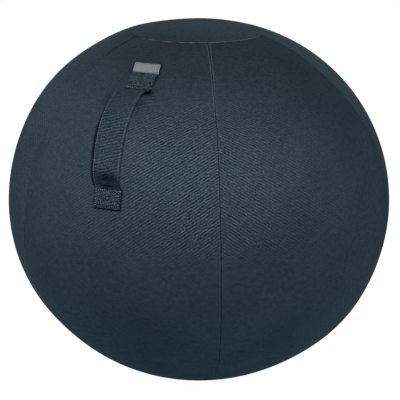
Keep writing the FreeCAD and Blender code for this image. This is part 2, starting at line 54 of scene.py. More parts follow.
def outlineTable():
    rad = math.radians
    slope, join, base = rad(ball["capSlope"]), rad(ball["joinAngle"]), rad(ball["baseSlope"])
    crown = ball["capRadius"] / math.sin(slope)
    shoulder = (ball["radius"] - ball["capRadius"]) / (1 - math.sin(slope))
    bowl = ball["lowerRatio"] * ball["radius"]
    side = (ball["radius"] - bowl * math.sin(join)) / (1 - math.sin(join))
    bowlZ = (bowl - ball["baseRound"]) * math.cos(base) + ball["baseRound"]
    equatorZ = bowlZ - (bowl - side) * math.cos(join)
    crownZ = equatorZ - (crown - shoulder) * math.cos(slope)
    footR = (bowl - ball["baseRound"]) * math.sin(base)
    arcs = [(0, slope, 0, crownZ, crown),
            (slope, math.pi / 2, ball["radius"] - shoulder, equatorZ, shoulder),
            (math.pi / 2, math.pi - join, ball["radius"] - side, equatorZ, side),
            (math.pi - join, math.pi - base, 0, bowlZ, bowl),
            (math.pi - base, math.pi, footR, ball["baseRound"], ball["baseRound"])]
    rows = []
    for start, end, cr, cz, radius in arcs:
        count = max(ball["fewest"], int(radius * (end - start) / ball["sample"]))
        for a in np.linspace(start, end, count, endpoint=False):
            rows.append((cr + radius * math.sin(a), cz + radius * math.cos(a), math.sin(a), math.cos(a), a))
    for r in np.linspace(footR, 0, ball["footSamples"]):
        rows.append((r, 0, 0, -1, math.pi))
    table = np.array(rows)
    way = np.concatenate([[0], np.cumsum(np.hypot(np.diff(table[:, 0]), np.diff(table[:, 1])))])
    way -= np.interp(slope, table[:, 4], way)      # zero at the seam of the top panel
    return way, table, equatorZ, shoulder


way, outline, equatorZ, shoulderR = outlineTable()
shoulderOut = ball["radius"] - shoulderR


def onOutline(s):
    return [np.interp(s, way, outline[:, i]) for i in range(4)]


def coverPoint(azimuth, s, height):
    azimuth, s, height = np.broadcast_arrays(azimuth, s, height)
    r, z, nr, nz = onOutline(s)
    out = r + height * nr
    return np.stack([out * np.cos(azimuth), out * np.sin(azimuth), z + height * nz], -1)


def wayAtRadius(radius):
    lower = outline[:, 4] > math.pi / 2
    order = np.argsort(outline[lower, 0])
    return float(np.interp(radius, outline[lower, 0][order], way[lower][order]))


def ripple(seed, wavelengths):
    # soft repeatable noise along a line, about -1 to 1
    rng = np.random.default_rng(seed)
    parts = [(2 * math.pi / w, rng.uniform(0, 2 * math.pi), rng.uniform(0.6, 1.0)) for w in wavelengths]
    total = sum(p[2] for p in parts) * 0.7
    return lambda s: sum(a * np.sin(k * np.asarray(s) + p) for k, p, a in parts) / total


def smoothStep(x, low, high):
    t = np.clip((x - low) / (high - low), 0, 1)
    return t * t * (3 - 2 * t)


def bell(x, middle, width):
    return np.exp(-((x - middle) / width) ** 2)


def newPiece(name, points, faces, uv=None, material=None, extra=None):
    mesh = bpy.data.meshes.new(name)
    mesh.from_pydata(np.asarray(points, float).tolist(), [], faces)
    mesh.validate()
    loopVerts = np.empty(len(mesh.loops), int)
    mesh.loops.foreach_get("vertex_index", loopVerts)
    if uv is not None:
        layer = mesh.uv_layers.new(name="clothUV")
        layer.data.foreach_set("uv", np.asarray(uv, np.float32)[loopVerts].ravel())
    for key, values in (extra or {}).items():
        attribute = mesh.attributes.new(key, "FLOAT", "POINT")
        attribute.data.foreach_set("value", np.asarray(values, np.float32).ravel())
    mesh.polygons.foreach_set("use_smooth", np.ones(len(mesh.polygons), bool))
    obj = bpy.data.objects.new(name, mesh)
    bpy.context.scene.collection.objects.link(obj)
    if material:
        mesh.materials.append(material)
    return obj


def gridFaces(rows, cols, start=0, closed=False, around=False, flip=False):
    # closed joins the last row to the first, around the last column to the first
    faces = []
    for i in range(rows if closed else rows - 1):
        k = (i + 1) % rows
        for j in range(cols if around else cols - 1):
            m = (j + 1) % cols
            quad = (start + i * cols + j, start + k * cols + j, start + k * cols + m, start + i * cols + m)
            faces.append(quad[::-1] if flip else quad)
    return faces


def thicken(obj, thickness, offset=-1):
    solid = obj.modifiers.new("clothThickness", "SOLIDIFY")
    solid.thickness, solid.offset = thickness, offset
    solid.use_even_offset = False


def settle(obj, slot, *replaced):
    # most pieces ride on the ball
    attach(obj, "ball")
    if replaced:
        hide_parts(*replaced)


def sRgb(r, g, b):
    return tuple(((c / 255 + 0.055) / 1.055) ** 2.4 if c > 10 else c / 255 / 12.92 for c in (r, g, b)) + (1.0,)


# materials
def startMaterial(name, colour, roughness, specular):
    mat = bpy.data.materials.new(name)
    mat.use_nodes = True
    tree = mat.node_tree
    shader = next(n for n in tree.nodes if n.type == "BSDF_PRINCIPLED")
    shader.inputs["Base Color"].default_value = colour
    shader.inputs["Roughness"].default_value = roughness
    shader.inputs["Specular IOR Level"].default_value = specular
    mat.diffuse_color = colour
    return mat, tree, shader


def addNode(tree, kind, values=None, **settings):
    item = tree.nodes.new(kind)
    for key, setting in settings.items():
        setattr(item, key, setting)
    for key, number in (values or {}).items():
        item.inputs[key].default_value = number
    return item


def maths(tree, operation, a, b=None, c=None):
    item = addNode(tree, "ShaderNodeMath", operation=operation)
    for i, source in enumerate((a, b, c)):
        if source is None:
            continue
        if isinstance(source, (int, float)):
            item.inputs[i].default_value = source
        else:
            tree.links.new(source, item.inputs[i])
    return item.outputs[0]


def noise(tree, coordinate, scale, detail=2.0, roughness=0.5):
    item = addNode(tree, "ShaderNodeTexNoise", {"Scale": scale, "Detail": detail, "Roughness": roughness})
    tree.links.new(coordinate, item.inputs["Vector"])
    return item.outputs["Fac"]


def waveAlong(tree, coordinate, direction, pitch, push):
    dot = addNode(tree, "ShaderNodeVectorMath", operation="DOT_PRODUCT")
    tree.links.new(coordinate, dot.inputs[0])
    dot.inputs[1].default_value = (direction[0], direction[1], 0)
    phase = maths(tree, "MULTIPLY", dot.outputs["Value"], 2 * math.pi / pitch)
    return maths(tree, "SINE", maths(tree, "ADD", phase, push))


def rampColour(tree, fac, stops):
    ramp = addNode(tree, "ShaderNodeValToRGB")
    while len(ramp.color_ramp.elements) < len(stops):
        ramp.color_ramp.elements.new(0.5)
    for element, (place, colour) in zip(ramp.color_ramp.elements, stops):
        element.position, element.color = place, colour
    tree.links.new(fac, ramp.inputs["Fac"])
    return ramp.outputs["Color"]


def addBump(tree, shader, height):
    bump = addNode(tree, "ShaderNodeBump", {"Strength": 1.0, "Distance": mm})
    tree.links.new(height, bump.inputs["Height"])
    tree.links.new(bump.outputs["Normal"], shader.inputs["Normal"])


def pieceValue(tree, name):
    return addNode(tree, "ShaderNodeAttribute", attribute_name=name).outputs["Fac"]


# noises in the cloth: scale, detail and roughness of each
weave = dict(wander=(45, 3), jog=(260, 2), patchy=(85, 3, 0.65), speckle=(430, 1), blotch=(125, 2, 0.6),
             melange=(820, 2, 0.6), broad=(9, 2), streak=(1.0, 2, 0.6), streakStretch=(70, 330, 1),
             patchGain=3.2, patchDrop=-1.0, threadPush=1.2, deepest=0.15, palest=1.7,
             calm=dict(rib=1.0, streak=0.8, speckle=0.85, melange=0.55))      # how far smooth cloth loses each


def twillCloth(name, look):
    mat, tree, shader = startMaterial(name, look["mid"], look["roughness"], look["gloss"])
    uv = addNode(tree, "ShaderNodeUVMap", uv_map="clothUV").outputs["UV"]
    fade = pieceValue(tree, "ribFade")
    lean = math.radians(look["lean"])
    across, along = (-math.sin(lean), math.cos(lean)), (math.cos(lean), math.sin(lean))

    def cloud(kind, coordinate=uv):
        return maths(tree, "SUBTRACT", noise(tree, coordinate, *weave[kind]), 0.5)

    def calmed(value, kind):
        return maths(tree, "MULTIPLY", value, maths(tree, "MULTIPLY_ADD", fade, -weave["calm"][kind], 1.0))

    def total(start, parts):
        for key, value in parts.items():
            start = maths(tree, "MULTIPLY_ADD", value, look[key], start)
        return start

    wander = maths(tree, "MULTIPLY", cloud("wander"), look["wander"])
    wander = maths(tree, "MULTIPLY_ADD", cloud("jog"), look["jog"], wander)
    # ribs come and go
    patchy = maths(tree, "MULTIPLY_ADD", noise(tree, uv, *weave["patchy"]), weave["patchGain"], weave["patchDrop"])
    rib = maths(tree, "MULTIPLY", waveAlong(tree, uv, across, look["pitch"], wander), calmed(patchy, "rib"))
    turned = addNode(tree, "ShaderNodeMapping", {"Rotation": (0, 0, -lean), "Scale": weave["streakStretch"]})
    tree.links.new(uv, turned.inputs["Vector"])
    streak = calmed(cloud("streak", turned.outputs["Vector"]), "streak")
    speckle, melange = calmed(cloud("speckle"), "speckle"), calmed(cloud("melange"), "melange")
    blotch = maths(tree, "MULTIPLY", cloud("blotch"), fade)
    thread = waveAlong(tree, uv, along, look["thread"], maths(tree, "MULTIPLY", rib, weave["threadPush"]))
    tone = total(0.5, dict(ribTone=rib, melange=melange, streak=streak, speckle=speckle, blotch=blotch,
                           broad=cloud("broad")))
    tone = maths(tree, "ADD", tone, pieceValue(tree, "clothTone"))      # painted light and shade from the pieces: lighter gores and top panel, highlights and shade at the seams, shadows round and on the strap
    deep = tuple(weave["deepest"] * c for c in look["dark"][:3]) + (1,)
    pale = tuple(min(1.0, weave["palest"] * c) for c in look["light"][:3]) + (1,)
    stops = [(0.0, deep), (0.25, look["dark"]), (0.5, look["mid"]), (0.75, look["light"]), (1.0, pale)]
    colour = rampColour(tree, maths(tree, "MULTIPLY_ADD", tone, 0.5, 0.25), stops)
    tree.links.new(colour, shader.inputs["Base Color"])
    addBump(tree, shader, total(0.0, dict(ribDepth=rib, threadDepth=thread, fuzz=melange, streakDepth=streak)))
    return mat


coverLook = dict(dark=sRgb(32, 47, 55), mid=sRgb(56, 69, 78), light=sRgb(80, 93, 102), lean=35.0, pitch=0.0046,
                 thread=0.0016, wander=5.5, jog=5.5, ribTone=0.62, melange=1.0, broad=0.3, speckle=1.9, blotch=0.5,
                 streak=0.6, ribDepth=0.24, threadDepth=0.035, fuzz=0.12, streakDepth=0.16, roughness=0.92, gloss=0.0)
strapLook = dict(coverLook, dark=sRgb(12, 26, 33), mid=sRgb(48, 62, 71), lean=18.0, pitch=0.0050, ribTone=0.30,
                 wander=3.0, melange=1.3, ribDepth=0.16, speckle=1.5)
baseLook = dict(coverLook, dark=sRgb(22, 24, 26), mid=sRgb(32, 35, 38), light=sRgb(44, 47, 51), lean=45.0,
                pitch=0.003, wander=1.0, ribTone=0.2, ribDepth=0.2, speckle=0.8)
bindingLook = dict(coverLook, dark=sRgb(14, 26, 34), mid=sRgb(24, 38, 46), light=sRgb(38, 52, 60), lean=60.0,
                   pitch=0.0022, wander=0.4, ribTone=0.2, ribDepth=0.13, speckle=0.6)
zipTapeLook = dict(coverLook, dark=sRgb(24, 28, 31), mid=sRgb(33, 38, 42), light=sRgb(45, 50, 55), lean=58.0,
                   pitch=0.0013, wander=0.3, ribTone=0.2, ribDepth=0.06, speckle=0.5)
labelLook = dict(coverLook, dark=sRgb(142, 145, 151), mid=sRgb(168, 171, 176), light=sRgb(193, 195, 200), lean=0.0,
                 pitch=0.0009, thread=0.0009, wander=0.4, jog=1.0, ribTone=0.1, melange=0.5, ribDepth=0.05,
                 fuzz=0.04, roughness=0.6, speckle=0.7)
coverCloth = twillCloth("slateTwill", coverLook)
strapCloth = twillCloth("strapTwill", strapLook)
baseCloth = twillCloth("baseCanvas", baseLook)
bindingTape = twillCloth("bindingTape", bindingLook)
zipTape = twillCloth("zipTapeWeave", zipTapeLook)
labelWeave = twillCloth("labelSatin", labelLook)

threadLook = dict(roughness=0.8, gloss=0.05, strands=1500, toneMarks=90, bump=0.15)


def threadMaterial(name, dark, light):
    mat, tree, shader = startMaterial(name, light, threadLook["roughness"], threadLook["gloss"])
    place = addNode(tree, "ShaderNodeTexCoord").outputs["Object"]
    strands = noise(tree, place, threadLook["strands"], 2)
    # some stitches are brighter than others
    worn = maths(tree, "MULTIPLY_ADD", noise(tree, place, threadLook["toneMarks"], 2, 0.7), 1.6, -0.3)
    shine = maths(tree, "MULTIPLY_ADD", strands, 0.4, maths(tree, "MULTIPLY", worn, 0.6))
    tree.links.new(rampColour(tree, shine, [(0.3, dark), (0.7, light)]), shader.inputs["Base Color"])
    addBump(tree, shader, maths(tree, "MULTIPLY", strands, threadLook["bump"]))
    return mat


capThread = threadMaterial("capThread", sRgb(98, 112, 121), sRgb(186, 196, 202))
seamThread = threadMaterial("seamThread", sRgb(36, 66, 84), sRgb(92, 126, 148))
labelThread = threadMaterial("labelThread", sRgb(38, 44, 53), sRgb(86, 92, 102))
strapThread = threadMaterial("strapThread", sRgb(48, 68, 80), sRgb(150, 170, 182))


def hardMaterial(name, colour, worn, roughness, metallic, grain, depth):
    mat, tree, shader = startMaterial(name, colour, roughness, 0.5)
    shader.inputs["Metallic"].default_value = metallic
    place = addNode(tree, "ShaderNodeTexCoord").outputs["Object"]
    cloud = noise(tree, place, grain, 4, 0.6)
    tree.links.new(rampColour(tree, cloud, [(0.35, colour), (0.75, worn)]), shader.inputs["Base Color"])
    rough = maths(tree, "MULTIPLY_ADD", cloud, 0.2, roughness - 0.1)
    tree.links.new(rough, shader.inputs["Roughness"])
    addBump(tree, shader, maths(tree, "MULTIPLY", cloud, depth))
    return mat


zipMetal = hardMaterial("darkZipMetal", sRgb(52, 55, 58), sRgb(84, 87, 90), 0.38, 0.9, 900, 0.02)
zipPlastic = hardMaterial("zipToothPlastic", sRgb(30, 34, 37), sRgb(44, 48, 52), 0.42, 0.0, 900, 0.02)
ballSkin = hardMaterial("ballSkin", sRgb(150, 154, 156), sRgb(166, 169, 171), 0.48, 0.0, 60, 0.08)
plugPlastic = hardMaterial("plugPlastic", sRgb(222, 222, 217), sRgb(234, 234, 230), 0.4, 0.0, 500, 0.02)
granulate = hardMaterial("quartzGrains", sRgb(150, 142, 128), sRgb(190, 182, 168), 0.8, 0.0, 1200, 0.5)
print("materials made")

# seams: azimuths in degrees, and how far each wanders from even spacing along its way down (metres, degrees);
# heights and widths of the relief beside them in millimetres
seams = dict(first=-126.0, step=72.0, stitch=0.0043, grooveDepth=1.1, grooveWidth=0.75, ridge=0.22, topRidge=0.55,
             ridgeWidth=1.1, ridgeAt=1.3, topSpread=2.1, spreadWay=0.022, tick=0.14, shirr=0.16, pucker=0.28,
             valley=0.5, topEnd=(0.055, 0.13), shirrStart=(0.05, 0.08), shirrEnd=(0.14, 0.22),
             reach=dict(tickStart=1.0, tick=6.5, shirr=11.0, puckerStart=2.0, pucker=15.0, valley=18.0),
             sunk={0: 0.0005, 1: 0.0, 2: 0.0005, 3: 0.0002, 4: 0.0002},
             wander={0: [(0, -0.6), (0.03, 0.9), (0.06, 1.8), (0.10, 3.0), (0.20, 2.6), (0.27, 1.8), (0.38, 1.6),
                         (0.42, 0.0), (0.45, -1.6), (0.50, -2.4), (0.56, -1.5), (0.63, 0.0)],
                     1: [(0, -0.4), (0.05, -1.0), (0.10, -1.5), (0.15, -1.7), (0.33, -1.75), (0.40, -1.55),
                         (0.47, -1.3), (0.55, -0.6), (0.60, 0.1), (0.65, 0.8), (0.70, 1.3)],
                     2: [(0, -9.6), (0.10, -9.8), (0.18, -7.4), (0.26, -3.4), (0.34, -0.8), (0.42, 0.0)],
                     3: [(0, 0.3), (0.2, -0.9), (0.5, 0.6), (0.7, 0.0)],
                     4: [(0, 0.0), (0.3, 0.8), (0.6, -0.3)]})
# painted highlight and shade beside the seams: how pale each seam's folds are, and where on the way down the marks
# begin and end
toneMarks = dict(pale={0: 0.25, 1: 1.0, 2: 0.3, 3: 0.5, 4: 0.5}, topPale=0.66, bodyPale=0.24, paleWidth=0.55,
            paleEnd=(0.12, 0.19), dots=0.9, dotPitch=0.0086, dotStart=(0.03, 0.08), dashPitch=0.0175,
            dashStart=(0.30, 0.40), darkStart=(0.13, 0.19), deepStart=(0.20, 0.25), deepEnd=(0.36, 0.42))


def softLine(stops, reach=0.9, window=0.03):
    # straight runs between stops with their corners eased
    grid = np.linspace(-0.2, reach, 1101)
    raw = np.interp(grid, [p[0] for p in stops], [p[1] for p in stops])
    size = int(window / (grid[1] - grid[0])) * 2 + 1
    padded = np.pad(raw, size // 2, mode="edge")
    return grid, np.convolve(padded, np.hanning(size + 2)[1:-1] / np.hanning(size + 2).sum(), "valid")


seamLines = {index: softLine(stops) for index, stops in seams["wander"].items()}


def seamAzimuth(index, s):
    index = index % ball["gores"]
    return np.radians(seams["first"] + seams["step"] * index + np.interp(s, *seamLines[index]))


capSeam = dict(shift=-0.0009, lean=-0.0015)


def capShift(azimuth):
    # the seam of the top panel is sewn a little nearer the middle towards one side
    return capSeam["shift"] + capSeam["lean"] * np.cos(azimuth)


seamNoise = {i: (ripple(20 + i, (0.041, 0.027, 0.071)), ripple(40 + i, (0.019, 0.013, 0.031)),
                 ripple(60 + i, (0.11, 0.17))) for i in range(ball["gores"])}


def ridgePlace(index, s, side):
    quick = seamNoise[index][1]
    return seams["ridgeAt"] + seams["topSpread"] * np.exp(-s / seams["spreadWay"]) + 0.2 * quick(s + 0.3 * side)


def seamRelief(index, x, s, side):
    # height in metres at distance x from a seam
    index = index % ball["gores"]
    slow, quick, broad = seamNoise[index]
    a = x / mm
    top = 1 - smoothStep(s, *seams["topEnd"])
    groove = -seams["grooveDepth"] * (1 - 0.5 * top) * bell(a, 0, seams["grooveWidth"])
    ridge = seams["ridge"] + seams["topRidge"] * top * (0.75 + 0.35 * slow(s))
    ridge = ridge * bell(a, ridgePlace(index, s, side), seams["ridgeWidth"])
    lively = 0.35 + 0.65 * smoothStep(broad(s + 0.21 * side), -0.3, 0.7)
    shirred = smoothStep(s, *seams["shirrStart"]) * (1 - smoothStep(s, *seams["shirrEnd"])) * (0.5 + 0.5 * side)
    reach = seams["reach"]
    tick = np.cos(2 * math.pi * s / seams["stitch"] + 0.5 * slow(s)) * (1 - np.exp(-a / reach["tickStart"]))
    shirr = seams["shirr"] * shirred * bell(a, 0, reach["shirr"])
    tick = tick * (seams["tick"] * lively * np.exp(-a / reach["tick"]) + shirr)
    pucker = quick(s + 0.5 * side) * np.exp(-a / reach["pucker"]) * (1 - np.exp(-a / reach["puckerStart"]))
    valley = -seams["valley"] * np.exp(-a / reach["valley"])
    return (groove + ridge + tick + seams["pucker"] * lively * pucker + valley) * mm


def seamHighlightShade(index, x, s, side):
    # painted shade in the groove, painted highlight on the fold beside it, strongest near the top
    index = index % ball["gores"]
    slow, quick = seamNoise[index][:2]
    pale = toneMarks["pale"][index]
    dots = np.cos(2 * math.pi * s / toneMarks["dotPitch"] + 1.5 * side + 1.2 * quick(s))
    dots = 1 + toneMarks["dots"] * smoothStep(s, *toneMarks["dotStart"]) * dots
    fold = toneMarks["topPale"] * (1 - smoothStep(s, *toneMarks["paleEnd"])) * dots
    fold = (fold + toneMarks["bodyPale"] * (0.7 + 0.6 * slow(s + 0.1 * side))) * pale
    dashes = smoothStep(np.sin(2 * math.pi * s / toneMarks["dashPitch"] + 1.3 * quick(s)), -0.7, 0.1)
    deep = smoothStep(s, *toneMarks["deepStart"]) * (1 - smoothStep(s, *toneMarks["deepEnd"]))
    groove = (0.2 + 0.3 * pale) * (0.55 + 0.45 * smoothStep(s, *toneMarks["darkStart"]) + 0.4 * deep)
    groove = groove * (1 + smoothStep(s, *toneMarks["dashStart"]) * (1.1 * dashes - 0.6))
    fold = fold * bell(x / mm, ridgePlace(index, s, side), toneMarks["paleWidth"])
    return fold - groove * bell(x / mm, 0, 0.58 + 0.12 * pale)


def edgeRelief(x, depth, width, ridge):
    a = x / mm
    return (-depth * bell(a, 0, width) + ridge * bell(a, 2.6, 1.6)) * mm


# columns and rows beside the edges in millimetres; the front gore is finer under the strap
goreShape = dict(cloth=0.0013, rowStep=0.0042, fineRows=4, middle=36, frontRowStep=0.0023, frontFineRows=2,
                 stripColumns=(0.1, 0.35, 0.65, 1.0, 1.35, 1.75, 2.2, 2.7, 3.3, 4.0, 5.0, 6.4, 8.4, 11.5, 16, 22),
                 edgeRows=(0.2, 0.7, 1.3, 2.0, 2.9, 4.2, 6.2, 9.0, 13),
                 frontShares=((0.03, 0.375, 11), (0.39, 0.70, 58), (0.72, 0.97, 9)),
                 topEdge=(1.0, 1.5, 0.2), lowEdge=(1.2, 1.6, 0.2),
                 # tone: painted light, some gores a little lighter as a whole
                 twillSign={1: 1, 2: -1, 3: 1, 4: -1, 5: -1}, tone={1: 0.0, 2: 0.0, 3: 0.12, 4: 0.05, 5: 0.07},
                 # painted light and shade that follows a seam: which seam, how far it reaches, way down and tone
                 beside={1: ("left", 0.060, ((0, 0.07), (0.10, 0.09), (0.20, 0.04), (0.30, 0.0))),
                         2: ("right", 0.130, ((0, -0.16), (0.20, -0.16), (0.30, 0.0), (0.42, 0.0), (0.50, 0.22),
                                              (0.62, 0.22))),
                         5: ("right", 0.100, ((0, -0.02), (0.15, 0.0), (0.42, 0.0), (0.47, 0.07), (0.54, 0.09),
                                              (0.60, 0.0)))})
sBase, sZip = wayAtRadius(ball["baseSeam"]), wayAtRadius(ball["baseSeam"] + ball["zipGap"])


def goreRows(sEnd, step):
    edge = np.array(goreShape["edgeRows"]) * mm
    count = int(round((sEnd - 2 * edge[-1]) / step))
    return np.concatenate([edge, np.linspace(edge[-1], sEnd - edge[-1], count + 1)[1:-1], sEnd - edge[::-1]])


# places where the cover stands fuller: azimuth, way down, height, and how far each spreads
fuller = [(-163.0, 0.0, 0.0034, 34.0, 0.060), (-151.0, 0.145, 0.0046, 32.0, 0.110),
          (20.0, 0.600, 0.0032, 45.0, 0.085), (-140.0, 0.610, -0.0013, 35.0, 0.070)]


def fullness(azimuth, s):
    total = 0.0
    for place, down, height, spread, reach in fuller:
        turn = (np.degrees(azimuth) - place + 180) % 360 - 180
        total = total + height * np.exp(-(turn / spread) ** 2 - ((s - down) / reach) ** 2)
    return total * smoothStep(s - way[0], 0.0, 0.06)


# front gore under the strap: painted shadow lines round the label and sewn ends (middle, half width, upper and
# lower edge); painted shadow spots have middle, half width, way down, half height and tone; creases get painted shade
strapShading = dict(ends=((0.0020, 0.0240, 0.0663, 0.0885), (0.0070, 0.0222, 0.0890, 0.1255),
                     (0.0044, 0.0244, 0.2995, 0.3310)), reach=0.0018, shade=0.60,
               spots=((0.0262, 0.0078, 0.1288, 0.0044, 1.25), (0.0165, 0.0120, 0.1540, 0.0240, 0.26),
                      (-0.0405, 0.0060, 0.1530, 0.0150, 0.40)),
               under=(0.0050, 0.0235, 0.3322, 0.0016, 0.95), underSlant=0.025,
               crease=(0.032, 0.013, 0.152, 0.017, 0.00040, 0.0068), creaseShade=0.40, creaseLean=0.35,
               creaseWobble=(0.0012, 0.004))


def strapShadingAndCrease(x, s):
    tone = 0.0
    # painted shadow lines round the label and the sewn ends
    for middle, half, upper, lower in strapShading["ends"]:
        beside, beyond = np.abs(x - middle) - half, np.maximum(upper - s, s - lower)
        away = np.hypot(np.clip(beside, 0, None), np.clip(beyond, 0, None))
        tone = tone - strapShading["shade"] * bell(away, 0, strapShading["reach"])
    # painted shadow spots beside and under the strap
    for middle, half, down, tall, depth in strapShading["spots"]:
        tone = tone - depth * np.exp(-((x - middle) / half) ** 2 - ((s - down) / tall) ** 2)
    # painted shadow under the lower sewn end
    middle, half, down, tall, depth = strapShading["under"]
    slant = strapShading["underSlant"] * x
    tone = tone - depth * np.exp(-((x - middle) / half) ** 8 - ((s - down - slant) / tall) ** 2)
    # creases: real ripples in the cloth, with painted shade and light along them
    middle, half, down, tall, depth, pitch = strapShading["crease"]
    wobble, every = strapShading["creaseWobble"]
    wave = np.sin(2 * math.pi * (s + strapShading["creaseLean"] * x + wobble * np.sin(x / every)) / pitch)
    wave = wave * np.exp(-((x - middle) / half) ** 2 - ((s - down) / tall) ** 2)
    return tone + strapShading["creaseShade"] * wave, depth * wave


ribs = dict(start=(0.11, 0.21), end=(0.35, 0.44), facing=-62, spread=32, otherGore=0.80, least=0.12, back=0.42,
            faint=0.06, top=0.22, topEnd=(0.10, 0.20))


def ribFade(number, azimuth, t):
    # the twill shows most where the front gores meet, and is stretched smooth at both ends
    body = smoothStep(t, *ribs["start"]) * (1 - smoothStep(t, *ribs["end"]))
    front = bell(np.degrees(azimuth), ribs["facing"], ribs["spread"]) * (1.0 if number == 1 else ribs["otherGore"])
    show = ribs["least"] + (1 - ribs["least"]) * front if number in (1, 2) else ribs["back"]
    top = ribs["top"] * (1 - smoothStep(t, *ribs["topEnd"]))
    return 1 - (ribs["faint"] + (show - ribs["faint"]) * body + top)


def makeGore(number):
    sEnd = sZip if number in (3, 4) else sBase
    front = number == 1
    coarse = goreRows(sEnd, goreShape["frontRowStep" if front else "rowStep"])
    k = goreShape["frontFineRows" if front else "fineRows"]
    fine = np.interp(np.arange((len(coarse) - 1) * k + 1) / k, np.arange(len(coarse)), coarse)
    strips = np.array(goreShape["stripColumns"]) * mm
    leftSeam, rightSeam = number - 1, number
    centre = math.radians(-90 + seams["step"] * (number - 1))

    def turns(s):
        left, right = seamAzimuth(leftSeam, s), seamAzimuth(rightSeam, s)
        while np.any(right < left):
            right = right + 2 * math.pi
        return left[:, None], right[:, None], onOutline(s)[0][:, None]

    def surface(t, azimuth, left, right):
        # t runs from the shifted top seam to the lower edge
        s = t + capShift(azimuth) * (1 - t / sEnd)
        r = onOutline(s)[0]
        fromLeft, fromRight = (azimuth - left) * r, (right - azimuth) * r
        height = seamRelief(leftSeam, fromLeft, t, 1) + seamRelief(rightSeam, fromRight, t, -1)
        height += edgeRelief(t, *goreShape["topEdge"]) + edgeRelief(sEnd - t, *goreShape["lowEdge"])
        height += fullness(azimuth, t)
        uv = np.stack([goreShape["twillSign"][number] * r * (azimuth - centre), -s], -1)
        # painted highlight on the folds beside both seams and painted shade in their grooves
        tone = seamHighlightShade(leftSeam, fromLeft, t, 1) + seamHighlightShade(rightSeam, fromRight, t, -1)
        # painted light and shade in a band along one seam
        if number in goreShape["beside"]:
            which, reach, stops = goreShape["beside"][number]
            away = fromLeft if which == "left" else fromRight
            tone = tone + np.interp(t, *zip(*stops)) * bell(away, 0, reach)
        if front:
            # painted shadows round the label, the sewn ends and under the strap, and real creases
            shade, crease = strapShadingAndCrease((azimuth - centre) * r, s)
            tone, height = tone + shade, height + crease
        fade = ribFade(number, azimuth, t) + 0 * tone
        # the gore's own painted light lifts it a little as a whole
        return coverPoint(azimuth, s, height), uv, tone + goreShape["tone"][number], fade

    left, right, r = turns(fine)
    leftC, rightC, rC = turns(coarse)
    startA, endA = leftC + strips[-1] / rC, rightC - strips[-1] / rC
    share = (np.arange(goreShape["middle"]) + 1) / (goreShape["middle"] + 1)
    if front:
        share = np.concatenate([np.linspace(*run) for run in goreShape["frontShares"]])
    blocks = [surface(fine[:, None], left + strips / r, left, right),
              surface(coarse[:, None], startA + (endA - startA) * share, leftC, rightC),
              surface(fine[:, None], right - strips[::-1] / r, left, right)]
    nf, nc, ns, nm = len(fine), len(coarse), len(strips), len(share)
    starts = [0, nf * ns, nf * ns + nc * nm]
    faces = gridFaces(nf, ns, starts[0]) + gridFaces(nc, nm, starts[1]) + gridFaces(nf, ns, starts[2])
    for i in range(nc - 1):      # joins from the fine strips to the middle
        strip = [starts[0] + (i * k + q) * ns + ns - 1 for q in range(k + 1)]
        faces.append(strip + [starts[1] + (i + 1) * nm, starts[1] + i * nm])
        strip = [starts[2] + (i * k + q) * ns for q in range(k + 1)]
        faces.append([starts[1] + i * nm + nm - 1, starts[1] + (i + 1) * nm + nm - 1] + strip[::-1])
    points, uv = (np.concatenate([b[i].reshape(-1, b[i].shape[-1]) for b in blocks]) for i in (0, 1))
    tone, fade = (np.concatenate([b[i].ravel() for b in blocks]) for i in (2, 3))
    obj = newPiece("gore_cloth_%d" % number, points, faces, uv, coverCloth, {"clothTone": tone, "ribFade": fade})
    thicken(obj, goreShape["cloth"])
    settle(obj, "cover_cloth", "cover_gore_%d" % number)
    return len(obj.data.polygons)


print("gores made:", [makeGore(i + 1) for i in range(ball["gores"])])

# round panels above and below; rows beside their edges in millimetres
# the top panel's tone is painted light, lifting it a little as it faces up; its edge gets a painted highlight
topPanel = dict(turns=480, edge=(0.2, 0.6, 1.1, 1.7, 2.4, 3.2, 4.4, 6, 8.5, 12, 16), rings=18, cloth=0.0013, tone=0.05,
                relief=(1.0, 1.5, 0.32), wave=0.12 * mm, waveReach=0.012, edgeHighlight=(1.6, 0.7, 0.12), ribFade=0.7)
basePanel = dict(turns=240, edge=(0.2, 0.6, 1.1, 1.8, 2.8, 4.2, 6.5), rings=26, cloth=0.0013, relief=(1.2, 1.6, 0.2))


def discFaces(rings, turns, flip=False):
    faces = gridFaces(turns, rings, 0, closed=True, flip=flip)
    pole = rings * turns
    for i in range(turns):
        a, b = i * rings + rings - 1, ((i + 1) % turns) * rings + rings - 1
        faces.append((a, pole, b) if flip else (a, b, pole))
    return faces


def discRows(panel, full):
    # azimuths, and distances from the edge for each of them
    azimuth = np.linspace(-math.pi, math.pi, panel["turns"], endpoint=False)
    edge = np.array(panel["edge"]) * mm
    full = np.broadcast_to(full(azimuth), azimuth.shape)[:, None]
    inner = edge[-1] + (full - edge[-1]) * (np.arange(1, panel["rings"]) / panel["rings"])
    return azimuth[:, None], np.concatenate([np.broadcast_to(edge, (len(azimuth), len(edge))), inner], 1)


